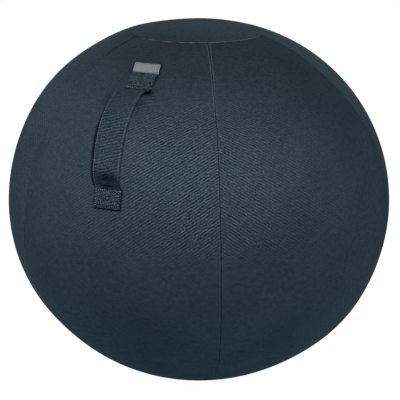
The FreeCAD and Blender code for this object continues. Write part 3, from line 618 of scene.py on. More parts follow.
def makeTopPanel():
    azimuth, x = discRows(topPanel, lambda turn: capShift(turn) - way[0])
    wave = ripple(7, (0.05, 0.023, 0.09))(azimuth * ball["capRadius"])
    height = edgeRelief(x, *topPanel["relief"]) + topPanel["wave"] * wave * np.exp(-x / topPanel["waveReach"])
    points = coverPoint(azimuth, capShift(azimuth) - x, height + fullness(azimuth, -x))
    points = np.concatenate([points.reshape(-1, 3), coverPoint(0.0, way[0], 0.0).reshape(1, 3)])
    # painted light: the whole panel a little lighter, with a painted highlight along its edge
    place, spread, pale = topPanel["edgeHighlight"]
    tone = topPanel["tone"] + pale * bell(x / mm, place, spread)
    obj = newPiece("top_cloth", points, discFaces(x.shape[1], topPanel["turns"]), points[:, :2], coverCloth,
                   {"clothTone": np.append(tone.ravel(), topPanel["tone"]),
                    "ribFade": np.full(len(points), topPanel["ribFade"])})
    thicken(obj, topPanel["cloth"])
    settle(obj, "cover_cloth", "cover_top_panel")


def makeBasePanel():
    full = way[-1] - sBase
    azimuth, x = discRows(basePanel, lambda turn: full)
    points = coverPoint(azimuth, sBase + x, edgeRelief(x, *basePanel["relief"]))
    points = np.concatenate([points.reshape(-1, 3), [[0, 0, 0]]])
    faces = discFaces(x.shape[1], basePanel["turns"], flip=True)
    obj = newPiece("base_cloth_panel", points, faces, points[:, :2], baseCloth)
    thicken(obj, basePanel["cloth"])
    settle(obj, "base_cloth", "cover_base_panel")


makeTopPanel()
makeBasePanel()
print("round panels made")

# carrying strap in its own plane: u along the line between its sewn ends, v away from the ball;
# lay is the height of its middle where it is sewn down; leaves, returns, sewn and hemEnds are places along u;
# edgeColumns are millimetres from an edge
strap = dict(width=0.0505, thick=0.003, lift=42.0, land=74.1, topAngle=34.8, endAngle=80.2, hem=(0.0017, 0.0036),
             hemRoll=(0.0016, 0.0013, 0.00030), hemGroove=(0.0008, 0.00040), edgeRound=0.0016, split=0.083, step=0.0011,
             lay=0.0019, leaves=-0.0038, returns=0.1708, samples=3000, sewn=(-0.002, 0.171), hemEnds=(0.014, 0.163),
             edgeColumns=(0.0, 0.15, 0.45, 0.9, 1.4, 2.0, 2.6, 3.1, 3.6, 4.1, 4.7, 5.4, 6.2), middleColumns=42,
             shift=((-0.037, 0.0049), (-0.002, 0.0090), (0.060, 0.0066), (0.085, 0.0052), (0.110, 0.0034),
                    (0.150, 0.0020), (0.163, 0.0026), (0.171, 0.0046), (0.200, 0.0046)),
             narrow=((-0.037, 0.93), (-0.003, 0.93), (0.016, 0.98), (0.040, 1.01), (0.070, 1.045), (0.110, 1.03),
                     (0.145, 1.0), (0.158, 0.97), (0.166, 0.92), (0.172, 0.975), (0.200, 0.985)))
liftA, landA = math.radians(strap["lift"]), math.radians(strap["land"])
midA = (liftA + landA) / 2
strapSpan = 2 * shoulderR * math.sin((landA - liftA) / 2)
strapBase = shoulderR * math.cos((landA - liftA) / 2)
strapOrigin = np.array([0, -(shoulderOut + shoulderR * math.sin(liftA)), equatorZ + shoulderR * math.cos(liftA)])
alongU = np.array([0, -math.cos(midA), -math.sin(midA)])
alongV = np.array([0, -math.sin(midA), math.cos(midA)])
halfStrap = strap["width"] / 2


def strapPlace(x, u, v):
    x, u, v = np.broadcast_arrays(x, u, v)
    return strapOrigin + x[..., None] * np.array([1, 0, 0]) + u[..., None] * alongU + v[..., None] * alongV


def bSpline(control, count):
    # even cubic curve through the neighbourhood of the control points, from the first to the last
    c = np.asarray(control, float)
    c = np.concatenate([[2 * c[0] - c[1]], c, [2 * c[-1] - c[-2]]])
    t = np.linspace(0, len(c) - 3, count)
    i = np.minimum(t.astype(int), len(c) - 4)
    f = (t - i)[:, None]
    p0, p1, p2, p3 = c[i], c[i + 1], c[i + 2], c[i + 3]
    return ((1 - f) ** 3 * p0 + (3 * f ** 3 - 6 * f ** 2 + 4) * p1 + (-3 * f ** 3 + 3 * f ** 2 + 3 * f + 1) * p2
            + f ** 3 * p3) / 6


def strapPath():
    def onBall(u):
        return u, np.sqrt(shoulderR ** 2 - (u - strapSpan / 2) ** 2) - strapBase + strap["lay"]

    top, end = (strapSpan / 2 + (shoulderR + strap["lay"]) * math.sin(math.radians(strap[key]) - midA)
                for key in ("topAngle", "endAngle"))
    sewnTop = [onBall(u) for u in np.linspace(top, strap["leaves"], 12)]
    rise = [(-0.0012, 0.0020), (0.0006, 0.0060), (0.0036, 0.0126), (0.0084, 0.0199), (0.0148, 0.0262),
            (0.0225, 0.0310), (0.0315, 0.0348)]
    loop = [(0.0410, 0.0380), (0.0520, 0.0407), (0.0630, 0.0419), (0.0750, 0.0414), (0.0870, 0.0395),
            (0.0990, 0.0369), (0.1110, 0.0331), (0.1230, 0.0287), (0.1345, 0.0243), (0.1445, 0.0200)]
    dive = [(0.1530, 0.0157), (0.1600, 0.0115), (0.1645, 0.0076), (0.1670, 0.0043), (0.1684, 0.0026)]
    sewnEnd = [onBall(u) for u in np.linspace(strap["returns"], end, 10)]
    raw = bSpline(sewnTop + rise + loop + dive + sewnEnd, strap["samples"])
    run = np.concatenate([[0], np.cumsum(np.hypot(*np.diff(raw, axis=0).T))])
    even = np.linspace(0, run[-1], int(run[-1] / strap["step"]))
    return np.stack([np.interp(even, run, raw[:, 0]), np.interp(even, run, raw[:, 1])], -1), even


pathUV, pathRun = strapPath()
pathRows = np.arange(len(pathUV))
pathDir = np.gradient(pathUV, axis=0)
pathDir /= np.linalg.norm(pathDir, axis=1)[:, None]
pathOut = np.stack([-pathDir[:, 1], pathDir[:, 0]], -1)
pathOut *= np.sign(pathOut[len(pathOut) // 2, 1])
splitRow = int(np.argmin(np.abs(pathUV[:, 0] - strap["split"]) + 10 * (pathUV[:, 1] < 0.02)))
lastRow = len(pathUV) - 1
strapNarrow, strapLine = (softLine(strap[key], window=0.006) for key in ("narrow", "shift"))


def strapShift(u):
    # the strap is sewn on a little to one side of the gore's middle, its upper end at a slight slant
    return np.interp(u, *strapLine)


def rowAt(u, upper):
    span = pathRows[:splitRow] if upper else pathRows[splitRow:]
    order = np.argsort(pathUV[span, 0])
    return float(np.interp(u, pathUV[span, 0][order], span[order]))


def roundedEnd(distance, radius):
    return np.sqrt(np.clip(1 - np.clip(1 - distance / radius, 0, 1) ** 2, 0, 1))


def strapProfile(x):
    # half thickness over the width: rolled hems, a groove at the stitch line
    edge = halfStrap - np.abs(x)
    line = np.where(x < 0, *strap["hem"])
    place, spread, tall = strap["hemRoll"]
    width, deep = strap["hemGroove"]
    hem = tall * bell(edge, place, spread) - deep * bell(edge, line, width)
    return (strap["thick"] / 2 + hem) * roundedEnd(edge, strap["edgeRound"])


# stitched boxes at the sewn ends: inner is their edge towards the loop, along u; shade is painted into the stitch
# dents; tones for the upper and lower end
boxStitch = dict(inset=0.0042, inner=(-0.0062, 0.1728), pitch=0.0036, length=0.0021, radius=0.00062, lift=0.00010,
                 hemLift=-0.00022, dent=0.00045, dentWidth=0.0010, shade=-1.0, patch=(0.12, 0.06), fluff=(0.56, 0.16))
boxInset = boxStitch["inset"] / strap["step"]
boxRows = [(boxInset, rowAt(boxStitch["inner"][0], True)), (rowAt(boxStitch["inner"][1], False), lastRow - boxInset)]


def boxEnds(rows):
    half = halfStrap - boxStitch["inset"]
    corners = [(rows[0], -half), (rows[0], half), (rows[1], half), (rows[1], -half)]
    return [(corners[a], corners[b]) for a, b in ((0, 1), (1, 2), (2, 3), (3, 0), (0, 2), (1, 3))]


def stitchPress(index, x):
    # 1 on a sewn line, falling to 0 beside it
    away = np.full(np.broadcast(index, x).shape, 1.0)
    run = index * strap["step"]
    for rows in boxRows:
        for (r0, x0), (r1, x1) in boxEnds(rows):
            begin, length, rise = r0 * strap["step"], (r1 - r0) * strap["step"], x1 - x0
            share = np.clip(((run - begin) * length + (x - x0) * rise) / (length ** 2 + rise ** 2), 0, 1)
            away = np.minimum(away, np.hypot(run - begin - share * length, x - x0 - share * rise))
    return bell(away, 0, boxStitch["dentWidth"])


# folds of the strap: place along u, spread and depth, and the wavelength of the rippled ones;
# shade has the tone in the fold above the lower end, in the hollow over it and under the upper end
folds = dict(endRound=0.0014, rolled=(0.0018, 0.0015, 1.2), free=((0.02, 0.05), (0.13, 0.16)), camber=0.0008,
             scoop=(0.1565, 0.0085, 0.0064), skew=(0.008, 0.011, 0.0018), crease=(0.160, 0.008, 0.0009, 0.0009),
             sag=(0.122, 0.016, 0.00026, 0.00074), line=0.1680, bow=0.0050,
             shade=((0.0, 0.0026, 0.34), (-0.0088, 0.0082, 0.47), (-0.0005, 0.0022, 0.30)), edgeShade=0.55,
             smooth=(0.035, 0.075), smoothLoop=0.6, smoothFold=0.8, hemShade=0.35, hemWidth=0.0009)


def strapSurface(index, x, side, lift=0.0):
    # point on the strap's face: side 1 outside, -1 inside
    index = np.asarray(index, float)
    u, v, nu, nv = (np.interp(index, pathRows, line) for line in (*pathUV.T, *pathOut.T))
    run = np.interp(index, pathRows, pathRun)
    share = np.abs(x) / halfStrap

    def fold(key):
        return folds[key][2] * bell(u, *folds[key][:2])

    closed = roundedEnd(np.minimum(run, pathRun[-1] - run), folds["endRound"])
    place, spread, gain = folds["rolled"]      # folded lower end
    closed = closed * (1 + gain * (side > 0) * bell(pathRun[-1] - run, place, spread))
    free = smoothStep(u, *folds["free"][0]) * (1 - smoothStep(u, *folds["free"][1]))
    camber = -folds["camber"] * share ** 2 * free
    scoop = -(1 - share ** 2) * fold("scoop")      # the middle sinks in above the lower end
    crease = np.sin(x / folds["crease"][3]) * (0.3 + 0.7 * (x > 0)) * share * fold("crease")
    sag = np.sin((u + 0.12 * np.abs(x) - 0.1 * x) / folds["sag"][3]) * (1 - share ** 4) * fold("sag")
    dent = -boxStitch["dent"] * stitchPress(index, x) * (side > 0)
    height = side * (strapProfile(x) * closed + lift) + camber + scoop + crease + sag + dent
    skew = -x / halfStrap * fold("skew")
    return strapPlace(x * np.interp(u, *strapNarrow) + strapShift(u), u + nu * height + skew, v + nv * height)


def foldShade(index, x):
    # painted shade in the fold above the lower end and where the upper end turns under
    u = np.interp(index, pathRows, pathUV[:, 0])
    line = folds["line"] - folds["bow"] * np.clip(-x / halfStrap, 0, 1) ** 2
    below = sum(tone * bell(u - line, place, spread) for place, spread, tone in folds["shade"][:2])
    below = below * (1 - folds["edgeShade"] * (x / halfStrap) ** 2)
    place, spread, tone = folds["shade"][2]
    return below * (index > splitRow) + tone * bell(u, place, spread) * (index < splitRow)


def strapColumns():
    fine = halfStrap - np.array(strap["edgeColumns"]) * mm
    middle = np.linspace(-fine[-1], fine[-1], strap["middleColumns"])[1:-1]
    return np.concatenate([-fine, middle, fine[::-1]])


def makeStrapHalf(name, first, last):
    rows = np.arange(first, last + 1)[:, None]
    x = strapColumns()
    xs = np.concatenate([x, x[1:-1][::-1]])      # round the outside, back along the inside
    points = np.concatenate([strapSurface(rows, x, 1), strapSurface(rows, xs[len(x):], -1)], 1)
    n, m = points.shape[:2]
    faces = gridFaces(n, m, around=True) + [tuple(range(m)), tuple(range((n - 1) * m, n * m))[::-1]]
    uv = np.stack(np.broadcast_arrays(xs, -pathRun[rows]), -1)
    press = np.concatenate([stitchPress(rows, x), np.zeros((n, m - len(x)))], 1)
    u = pathUV[rows, 0]
    ends = (u < strap["sewn"][0], u > strap["sewn"][1])
    sewn = sum(tone * end for tone, end in zip(boxStitch["patch"], ends))
    worn = np.random.default_rng(80 + first).normal(size=(n, m))      # threads rubbed up between the sewn lines
    sewn = sewn + worn * sum(tone * end for tone, end in zip(boxStitch["fluff"], ends))
    # painted shade along both edges of the strap
    edge = folds["hemShade"] * bell(halfStrap - np.abs(xs), 0, folds["hemWidth"])
    # painted shade in the folds
    folded = foldShade(rows, xs)
    smooth = folds["smoothLoop"] * (u > 0) * (1 - smoothStep(u, *folds["smooth"]))
    smooth = np.maximum(np.clip(2 * folded, 0, folds["smoothFold"]), smooth)
    # tone: painted shade in the stitch dents, along the edges and in the folds, with the sewn ends' own tone and rubbed
    # threads
    obj = newPiece(name, points.reshape(-1, 3), faces, uv.reshape(-1, 2), strapCloth,
                   {"clothTone": boxStitch["shade"] * press + sewn - edge - folded, "ribFade": smooth})
    obj.data.set_sharp_from_angle(angle=math.radians(60))
    return obj


# stitches and teeth: one node tree each, whose shapes are set on points and made real
def startTree(name, sockets):
    tree = bpy.data.node_groups.new(name, "GeometryNodeTree")
    tree.is_modifier = True
    for label, kind in {"Geometry": "Geometry", **sockets}.items():
        tree.interface.new_socket(label, in_out="INPUT", socket_type="NodeSocket" + kind)
    tree.interface.new_socket("Geometry", in_out="OUTPUT", socket_type="NodeSocketGeometry")
    return tree, tree.nodes.new, tree.links.new, tree.nodes.new("NodeGroupInput").outputs


def setShapes(tree, material, **sources):
    place, real, paint, result = (tree.nodes.new(kind) for kind in (
        "GeometryNodeInstanceOnPoints", "GeometryNodeRealizeInstances", "GeometryNodeSetMaterial", "NodeGroupOutput"))
    for socket, source in sources.items():
        tree.links.new(source, place.inputs[socket])
    tree.links.new(material, paint.inputs["Material"])
    tree.links.new(place.outputs["Instances"], real.inputs["Geometry"])
    tree.links.new(real.outputs["Geometry"], paint.inputs["Geometry"])
    tree.links.new(paint.outputs["Geometry"], result.inputs["Geometry"])
    return tree


stitchBead = dict(shape=dict(Segments=6, Rings=5, Radius=1.0), sizes=(0.88, 1.08))


def stitchTree():
    tree, put, link, given = startTree("threadStitches", dict(Pitch="Float", Length="Float", Radius="Float",
                                                              Seed="Int", Thread="Material"))
    curve, marks = put("GeometryNodeMeshToCurve"), put("GeometryNodeCurveToPoints")
    bead = put("GeometryNodeMeshUVSphere")
    marks.mode = "LENGTH"
    for socket, number in stitchBead["shape"].items():
        bead.inputs[socket].default_value = number
    size, halfLength = put("ShaderNodeCombineXYZ"), put("ShaderNodeMath")
    halfLength.operation, halfLength.inputs[1].default_value = "MULTIPLY", 0.5
    jitter, scaled = put("FunctionNodeRandomValue"), put("ShaderNodeVectorMath")
    jitter.data_type, scaled.operation = "FLOAT", "SCALE"
    low, high = [s for s in jitter.inputs if s.type == "VALUE" and s.enabled][:2]
    low.default_value, high.default_value = stitchBead["sizes"]
    link(given["Geometry"], curve.inputs["Mesh"])
    link(curve.outputs["Curve"], marks.inputs["Curve"])
    link(given["Pitch"], marks.inputs["Length"])
    link(given["Length"], halfLength.inputs[0])
    link(given["Radius"], size.inputs["X"])
    link(given["Radius"], size.inputs["Y"])
    link(halfLength.outputs[0], size.inputs["Z"])
    link(size.outputs[0], scaled.inputs[0])
    link(given["Seed"], jitter.inputs["Seed"])
    link(next(s for s in jitter.outputs if s.type == "VALUE" and s.enabled), scaled.inputs["Scale"])
    return setShapes(tree, given["Thread"], Points=marks.outputs["Points"], Rotation=marks.outputs["Rotation"],
                     Instance=bead.outputs["Mesh"], Scale=scaled.outputs["Vector"])


threadTree = stitchTree()


def runTree(name, tree, lines, settings, attributes=None):
    # lines: point lists; the tree's result becomes a plain mesh
    points, edges = [], []
    for line in lines:
        start = len(points)
        points += [tuple(map(float, p)) for p in line]
        edges += [(start + i, start + i + 1) for i in range(len(line) - 1)]
    mesh = bpy.data.meshes.new(name + "Lines")
    mesh.from_pydata(points, edges if attributes is None else [], [])
    for key, vectors in (attributes or {}).items():
        layer = mesh.attributes.new(key, "FLOAT_VECTOR", "POINT")
        layer.data.foreach_set("vector", np.asarray(vectors, np.float32).ravel())
    carrier = bpy.data.objects.new(name + "Lines", mesh)
    bpy.context.scene.collection.objects.link(carrier)
    modifier = carrier.modifiers.new("made", "NODES")
    modifier.node_group = tree
    for item in tree.interface.items_tree:
        if item.item_type == "SOCKET" and item.in_out == "INPUT" and item.name in settings:
            modifier[item.identifier] = settings[item.name]
    bpy.context.view_layer.update()
    done = bpy.data.meshes.new_from_object(carrier.evaluated_get(bpy.context.evaluated_depsgraph_get()))
    carrier.modifiers.clear()
    bpy.data.objects.remove(carrier)
    done.name = name
    done.polygons.foreach_set("use_smooth", np.full(len(done.polygons), attributes is None))
    obj = bpy.data.objects.new(name, done)
    bpy.context.scene.collection.objects.link(obj)
    return obj


def stitched(name, lines, pitch, length, radius, thread, seed):
    return runTree(name, threadTree, lines, dict(Pitch=pitch, Length=length, Radius=radius, Seed=seed, Thread=thread))


def boxLines(rows):
    t = np.linspace(0, 1, 40)
    return [strapSurface(r0 + (r1 - r0) * t, x0 + (x1 - x0) * t, 1, boxStitch["lift"])
            for (r0, x0), (r1, x1) in boxEnds(rows)]


def hemLines(fromRow, toRow):
    rows = np.linspace(fromRow, toRow, 160)
    return [strapSurface(rows, side * (halfStrap - hem) * np.ones_like(rows), 1, boxStitch["hemLift"])
            for side, hem in zip((-1, 1), strap["hem"])]


# name, rows, solids that it stands for, two points where it meets the loop (worked out but not used), box and hem rows,
# seed
strapHalves = [("strap_upper", 0, splitRow, ["handle_upper_end", "handle_loop"], ((0.001, 0.004), (0.030, 0.031)),
                boxRows[0], (rowAt(strap["hemEnds"][0], True), splitRow), 3),
               ("strap_lower", splitRow, lastRow, ["handle_lower_end"], ((0.165, 0.004), (0.136, 0.025)),
                boxRows[1], (splitRow, rowAt(strap["hemEnds"][1], False)), 4)]
for name, first, last, replaced, swing, box, hem, seed in strapHalves:
    piece = makeStrapHalf(name, first, last)
    threads = stitched(name + "_stitches", boxLines(box) + hemLines(*hem), boxStitch["pitch"], boxStitch["length"],
                       boxStitch["radius"], strapThread, seed)
    begin, finish = (tuple(strapPlace(0.0, *p)) for p in swing)
    for item in (piece, threads):
        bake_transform(item)
    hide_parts(*replaced)
print("strap made:", lastRow, "rows")

# plain woven label above the strap
label = dict(width=0.047, angle=4.45, tuck=0.25, thick=0.0009, lean=-0.0058, gap=0.0002, wave=0.0003, crown=0.0005,
             waves=9, columns=28, rows=16, pitch=0.0034, stitch=0.75, radius=0.0005, metresPerDegree=0.0053)


def makeLabel():
    t = np.linspace(0, 1, label["rows"])[:, None]      # from the top edge to the strap
    x = np.linspace(-0.5, 0.5, label["columns"])
    angle = np.radians(strap["topAngle"] - label["angle"] * (1 - t) + label["tuck"])
    lie = label["gap"] + label["wave"] * np.cos(x * label["waves"]) ** 2 + label["crown"] * np.sin(math.pi * t)
    reach = shoulderR + lie
    px = x * label["width"] + strapShift(strap["shift"][0][0]) + label["lean"] * (1 - t)
    py = -np.sqrt((shoulderOut + reach * np.sin(angle)) ** 2 - px ** 2)
    points = np.stack([px, py, equatorZ + reach * np.cos(angle)], -1)
    uv = np.stack(np.broadcast_arrays(x * label["width"], -t * label["angle"] * label["metresPerDegree"]), -1)
    obj = newPiece("label", points.reshape(-1, 3), gridFaces(label["rows"], label["columns"]), uv.reshape(-1, 2),
                   labelWeave)
    thicken(obj, label["thick"], offset=1)
    middle = float(angle.mean())
    top = points + np.array([0, -math.sin(middle), math.cos(middle)]) * label["thick"]
    border = [top[1, 1:-1], top[-3, 1:-1], top[1:-2, 1], top[1:-2, -2]]
    threads = stitched("label_stitches", border, label["pitch"], label["stitch"] * label["pitch"], label["radius"],
                       labelThread, 6)
    settle(threads, "label_weave")
    settle(obj, "label_weave", "label_tab")


makeLabel()
print("label made")

# seam threads: the top seam's sinks out of sight away from the front (degrees); short ones cross the gore seams
capStitch = dict(pitch=0.0042, length=0.0040, radius=0.00042, sunk=0.0018, front=-59.0, shows=(42.0, 66.0))
crossStitch = dict(pitch=0.0043, half=0.0012, topDepth=-0.0003, depth=-0.0002, sink=(0.12, 0.24), crown=0.0003,
                   slant=0.25, margin=0.006, step=0.0030, length=2.4, radius=0.00054)
aroundCap = np.linspace(-math.pi, math.pi, 721)
fromFront = np.abs((np.degrees(aroundCap) - capStitch["front"] + 180) % 360 - 180)
capHeight = fullness(aroundCap, 0.0) - capStitch["sunk"] * smoothStep(fromFront, *capStitch["shows"])
capLine = coverPoint(aroundCap, capShift(aroundCap), capHeight)
capThreads = stitched("top_seam_thread", [capLine], capStitch["pitch"], capStitch["length"], capStitch["radius"],
                      capThread, 5)
settle(capThreads, "cover_cloth")


def crossLines(index):
    # seen in the bottom of the groove
    sEnd = sZip if index in (2, 3, 4) else sBase
    half = crossStitch["half"]
    offsets = np.array([-1.0, -0.5, 0.0, 0.5, 1.0]) * half
    lines = []
    for s in np.arange(crossStitch["margin"], sEnd - crossStitch["margin"], crossStitch["pitch"]):
        turn = seamAzimuth(index, s)
        shift = capShift(turn) * (1 - s / sEnd)
        sunk = crossStitch["depth"] * smoothStep(s, *crossStitch["sink"]) + crossStitch["topDepth"]
        height = sunk - seams["sunk"][index] + crossStitch["crown"] * (1 - (offsets / half) ** 2) + fullness(turn, s)
        lines.append(coverPoint(turn + offsets / onOutline(s)[0], s + shift + crossStitch["slant"] * offsets, height))
    return lines


for index in range(ball["gores"]):
    threads = stitched("gore_seam_thread_%d" % (index + 1), crossLines(index), crossStitch["step"],
                       crossStitch["length"] * crossStitch["half"], crossStitch["radius"], seamThread, 10 + index)
    settle(threads, "cover_cloth")
print("seam threads made")

# pieces inside the cover: strips of tape and backing cloth, each a little below the cloth that it is sewn to;
# tuck is the fold behind a gore seam, frontSweep and backings are in degrees
inside = dict(depth=0.0018, thick=0.0008, width=0.010, clear=0.0002, seamClear=0.0006, tuck=0.0010, tuckWidth=0.0018,
              seamStart=0.0075, seamStop=0.024, topEase=0.97, frontSweep=(-197, 17), backing=0.064,
              backings={"upper": (33.4, 43.2), "lower": (72.9, 81.4)})


def bandPiece(name, points, uv, node, slot, material, closed=False, thick=inside["thick"]):
    rows, cols = points.shape[:2]
    i, j = rows // 2, cols // 2
    corner = points[i, j]
    normal = np.cross(points[i + 1, j] - corner, points[i, j + 1] - corner)
    outward = np.dot(normal, corner - np.array([0, 0, equatorZ])) > 0
    faces = gridFaces(rows, cols, closed=closed, flip=not outward)
    obj = newPiece(name, points.reshape(-1, 3), faces, uv.reshape(-1, 2), material)
    thicken(obj, thick)
    settle(obj, slot, node)


def tapePiece(name, points, across, along, node, closed=False):
    uv = np.stack(np.broadcast_arrays(across, along), -1)
    bandPiece(name, points, uv, node, "binding_tape", bindingTape, closed)


acrossTape = np.linspace(-0.5, 0.5, 7) * inside["width"]
for index in range(ball["gores"]):
    s = np.linspace(inside["seamStart"], sBase - inside["seamStop"], 260)[:, None]
    number = (index - 1) % ball["gores"] + 1
    turn = seamAzimuth(index, s) + acrossTape / onOutline(s)[0]
    deep = -inside["depth"] - inside["tuck"] * bell(acrossTape, 0, inside["tuckWidth"]) + fullness(turn, s)
    points = coverPoint(turn, s + capShift(turn) * (1 - s / sBase), deep - inside["seamClear"])
    tapePiece("seam_tape_%d" % number, points, acrossTape, -s, "gore_seam_binding_%d" % number)

turns = np.linspace(-math.pi, math.pi, 240, endpoint=False)[:, None]
deep = fullness(turns, acrossTape) - inside["depth"] - inside["clear"]
points = coverPoint(turns, capShift(turns) + acrossTape, deep)
tapePiece("top_seam_tape", points, acrossTape, turns * ball["capRadius"], "top_seam_binding",
          closed=True)

turns = np.radians(np.linspace(*inside["frontSweep"], 160))[:, None]
points = coverPoint(turns, sBase + acrossTape, -inside["depth"] - inside["clear"])
tapePiece("base_seam_tape", points, acrossTape, turns * ball["baseSeam"], "base_seam_binding")

for end, (first, last) in inside["backings"].items():
    x = np.linspace(-0.5, 0.5, 24) * inside["backing"]
    angle = np.radians(np.linspace(first, last, 24))[:, None]
    reach = shoulderR - inside["depth"] - inside["clear"]
    y = -np.sqrt((shoulderOut + reach * np.sin(angle)) ** 2 - x ** 2)
    points = np.stack(np.broadcast_arrays(x, y, equatorZ + reach * np.cos(angle)), -1)
    tapePiece(end + "_backing", points, x, -angle * shoulderR, "handle_%s_backing" % end)
print("inside tapes made")

# zip at the back of the base: tapes, and teeth made with one node tree; a tooth's blocks have their width, length,
# thickness and place as shares of the tooth's own
zipRow = dict(radius=0.12752, height=0.01301, tilt=22.37, tapeSweep=142.3, chainSweep=137.2, inner=0.00075,
              outer=0.0130, depth=-0.0022, thick=0.0006, bead=(0.0042, 0.0012, 0.0004), rows=150, columns=9,
              pitch=0.0024, stagger=0.25, toothWide=0.00105, toothLong=0.0024, toothThick=0.0022,
              blocks=((1.0, 1.0, 1.0, 0.80), (1.55, 0.38, 0.94, 0.25), (1.5, 0.3, 1.12, 1.15)))
zipCos, zipSin = math.cos(math.radians(zipRow["tilt"])), math.sin(math.radians(zipRow["tilt"]))


def zipPlace(azimuth, s, n):
    azimuth, s, n = np.broadcast_arrays(azimuth, s, n)
    r = zipRow["radius"] + s * zipCos + n * zipSin
    return np.stack([r * np.cos(azimuth), r * np.sin(azimuth), zipRow["height"] + s * zipSin - n * zipCos], -1)


def toothTree():
    tree, put, link, given = startTree("zipTeeth", dict(Wide="Float", Long="Float", Thick="Float", Plastic="Material"))

    def block(wideBy, longBy, thickBy, shiftBy):
        # one block of the tooth, sized and set off along the slope
        parts = []
        for source, factor in (("Long", longBy), ("Wide", wideBy), ("Thick", thickBy), ("Long", shiftBy)):
            by = put("ShaderNodeMath")
            by.operation, by.inputs[1].default_value = "MULTIPLY", factor
            link(given[source], by.inputs[0])
            parts.append(by.outputs[0])
        size, shift = put("ShaderNodeCombineXYZ"), put("ShaderNodeCombineXYZ")
        cube, move = put("GeometryNodeMeshCube"), put("GeometryNodeTransform")
        for i in range(3):
            link(parts[i], size.inputs[i])
        link(parts[3], shift.inputs[0])
        link(size.outputs[0], cube.inputs["Size"])
        link(cube.outputs["Mesh"], move.inputs["Geometry"])
        link(shift.outputs[0], move.inputs["Translation"])
        return move.outputs["Geometry"]

    joined = put("GeometryNodeJoinGeometry")
    for shares in zipRow["blocks"]:
        link(block(*shares), joined.inputs[0])
    turns = []
    for name, axis, pivot in (("outward", "Z", "AUTO"), ("slope", "X", "Z")):
        read, align = put("GeometryNodeInputNamedAttribute"), put("FunctionNodeAlignRotationToVector")
        read.data_type, align.axis, align.pivot_axis = "FLOAT_VECTOR", axis, pivot
        read.inputs["Name"].default_value = name
        link(read.outputs["Attribute"], align.inputs["Vector"])
        turns.append(align)
    link(turns[0].outputs["Rotation"], turns[1].inputs["Rotation"])
    return setShapes(tree, given["Plastic"], Points=given["Geometry"], Instance=joined.outputs["Geometry"],
                     Rotation=turns[1].outputs["Rotation"])


zipTree = toothTree()
for side, sign in (("outer", 1), ("inner", -1)):
    turns = math.pi / 2 + np.radians(np.linspace(-0.5, 0.5, zipRow["rows"]) * zipRow["tapeSweep"])[:, None]
    across = np.linspace(zipRow["inner"], zipRow["outer"], zipRow["columns"]) * sign
    place, spread, tall = zipRow["bead"]
    points = zipPlace(turns, across, zipRow["depth"] + tall * bell(np.abs(across), place, spread))
    uv = np.stack(np.broadcast_arrays(across, turns * zipRow["radius"]), -1)
    bandPiece("zip_tape_%s_cloth" % side, points, uv, "zip_tape_" + side,
              "zip_tape", zipTape, thick=zipRow["thick"])
    step = zipRow["pitch"] / zipRow["radius"]
    count = int(math.radians(zipRow["chainSweep"]) / step) - 1
    turns = math.pi / 2 + (np.arange(count) - (count - 1) / 2 + zipRow["stagger"] * sign) * step
    outward = np.stack(np.broadcast_arrays(zipSin * np.cos(turns), zipSin * np.sin(turns), -zipCos), -1)
    slope = sign * np.stack(np.broadcast_arrays(zipCos * np.cos(turns), zipCos * np.sin(turns), zipSin), -1)
    teeth = runTree("zip_teeth_%s_row" % side, zipTree, [zipPlace(turns, 0.0, zipRow["depth"])],
                    dict(Wide=zipRow["toothWide"], Long=zipRow["toothLong"], Thick=zipRow["toothThick"],
                         Plastic=zipPlastic), {"outward": outward, "slope": slope})
    settle(teeth, "zip_teeth", "zip_teeth_" + side)
print("zip made:", count, "teeth a side")

# cloth ring with grains in it, under the inner ball
ring = dict(radius=0.066, width=0.0356, low=0.0017, high=0.0193, turns=200, around=40, wide=0.75, tall=0.55,
            gather=0.02, fill=0.85)


def makeRing():
    turn = np.linspace(0, 2 * math.pi, ring["turns"], endpoint=False)[:, None]
    a = np.linspace(0, 2 * math.pi, ring["around"], endpoint=False)[None, :]
    halfW, halfH, midZ = ring["width"] / 2, (ring["high"] - ring["low"]) / 2, (ring["high"] + ring["low"]) / 2
    across = np.sign(np.cos(a)) * np.abs(np.cos(a)) ** ring["wide"]
    rise = np.sign(np.sin(a)) * np.abs(np.sin(a)) ** ring["tall"]
    gather = 1 - ring["gather"] * (0.5 + 0.5 * ripple(91, (0.21, 0.33, 0.13))(turn)) * np.abs(np.cos(a))
    r = ring["radius"] + halfW * across * gather
    points = np.stack(np.broadcast_arrays(r * np.cos(turn), r * np.sin(turn), midZ + halfH * rise), -1)
    uv = np.stack(np.broadcast_arrays(turn * ring["radius"], a * halfW), -1)
    faces = gridFaces(ring["turns"], ring["around"], closed=True, around=True)
    obj = newPiece("ring_sleeve_cloth", points.reshape(-1, 3), faces, uv.reshape(-1, 2), bindingTape)
    settle(obj, "binding_tape", "ring_sleeve")


makeRing()
print("ring made")

# camera and light
camera = dict(azimuth=28.2, elevation=13.3, distance=4.5, lens=236.6, sensor=36.0, right=0.00173, up=-0.00097)


def towards(azimuth, elevation):
    a, e = math.radians(azimuth), math.radians(elevation)
    right = Vector((math.cos(a), math.sin(a), 0))
    return Vector((math.sin(a) * math.cos(e), -math.cos(a) * math.cos(e), math.sin(e))), right


def makeCamera():
    back, right = towards(camera["azimuth"], camera["elevation"])
    up = back.cross(right)
    data = bpy.data.cameras.new("photoCamera")
    data.lens, data.sensor_width, data.sensor_fit = camera["lens"], camera["sensor"], "HORIZONTAL"
    data.clip_start, data.clip_end = 0.1, 50
    obj = bpy.data.objects.new("photoCamera", data)
    bpy.context.scene.collection.objects.link(obj)
    shift = right * camera["right"] + up * camera["up"]
    spot = Vector((0, 0, equatorZ)) + back * camera["distance"] + shift
    obj.matrix_world = Matrix.Translation(spot) @ Matrix((right, up, back)).transposed().to_4x4()
    bpy.context.scene.camera = obj


makeCamera()
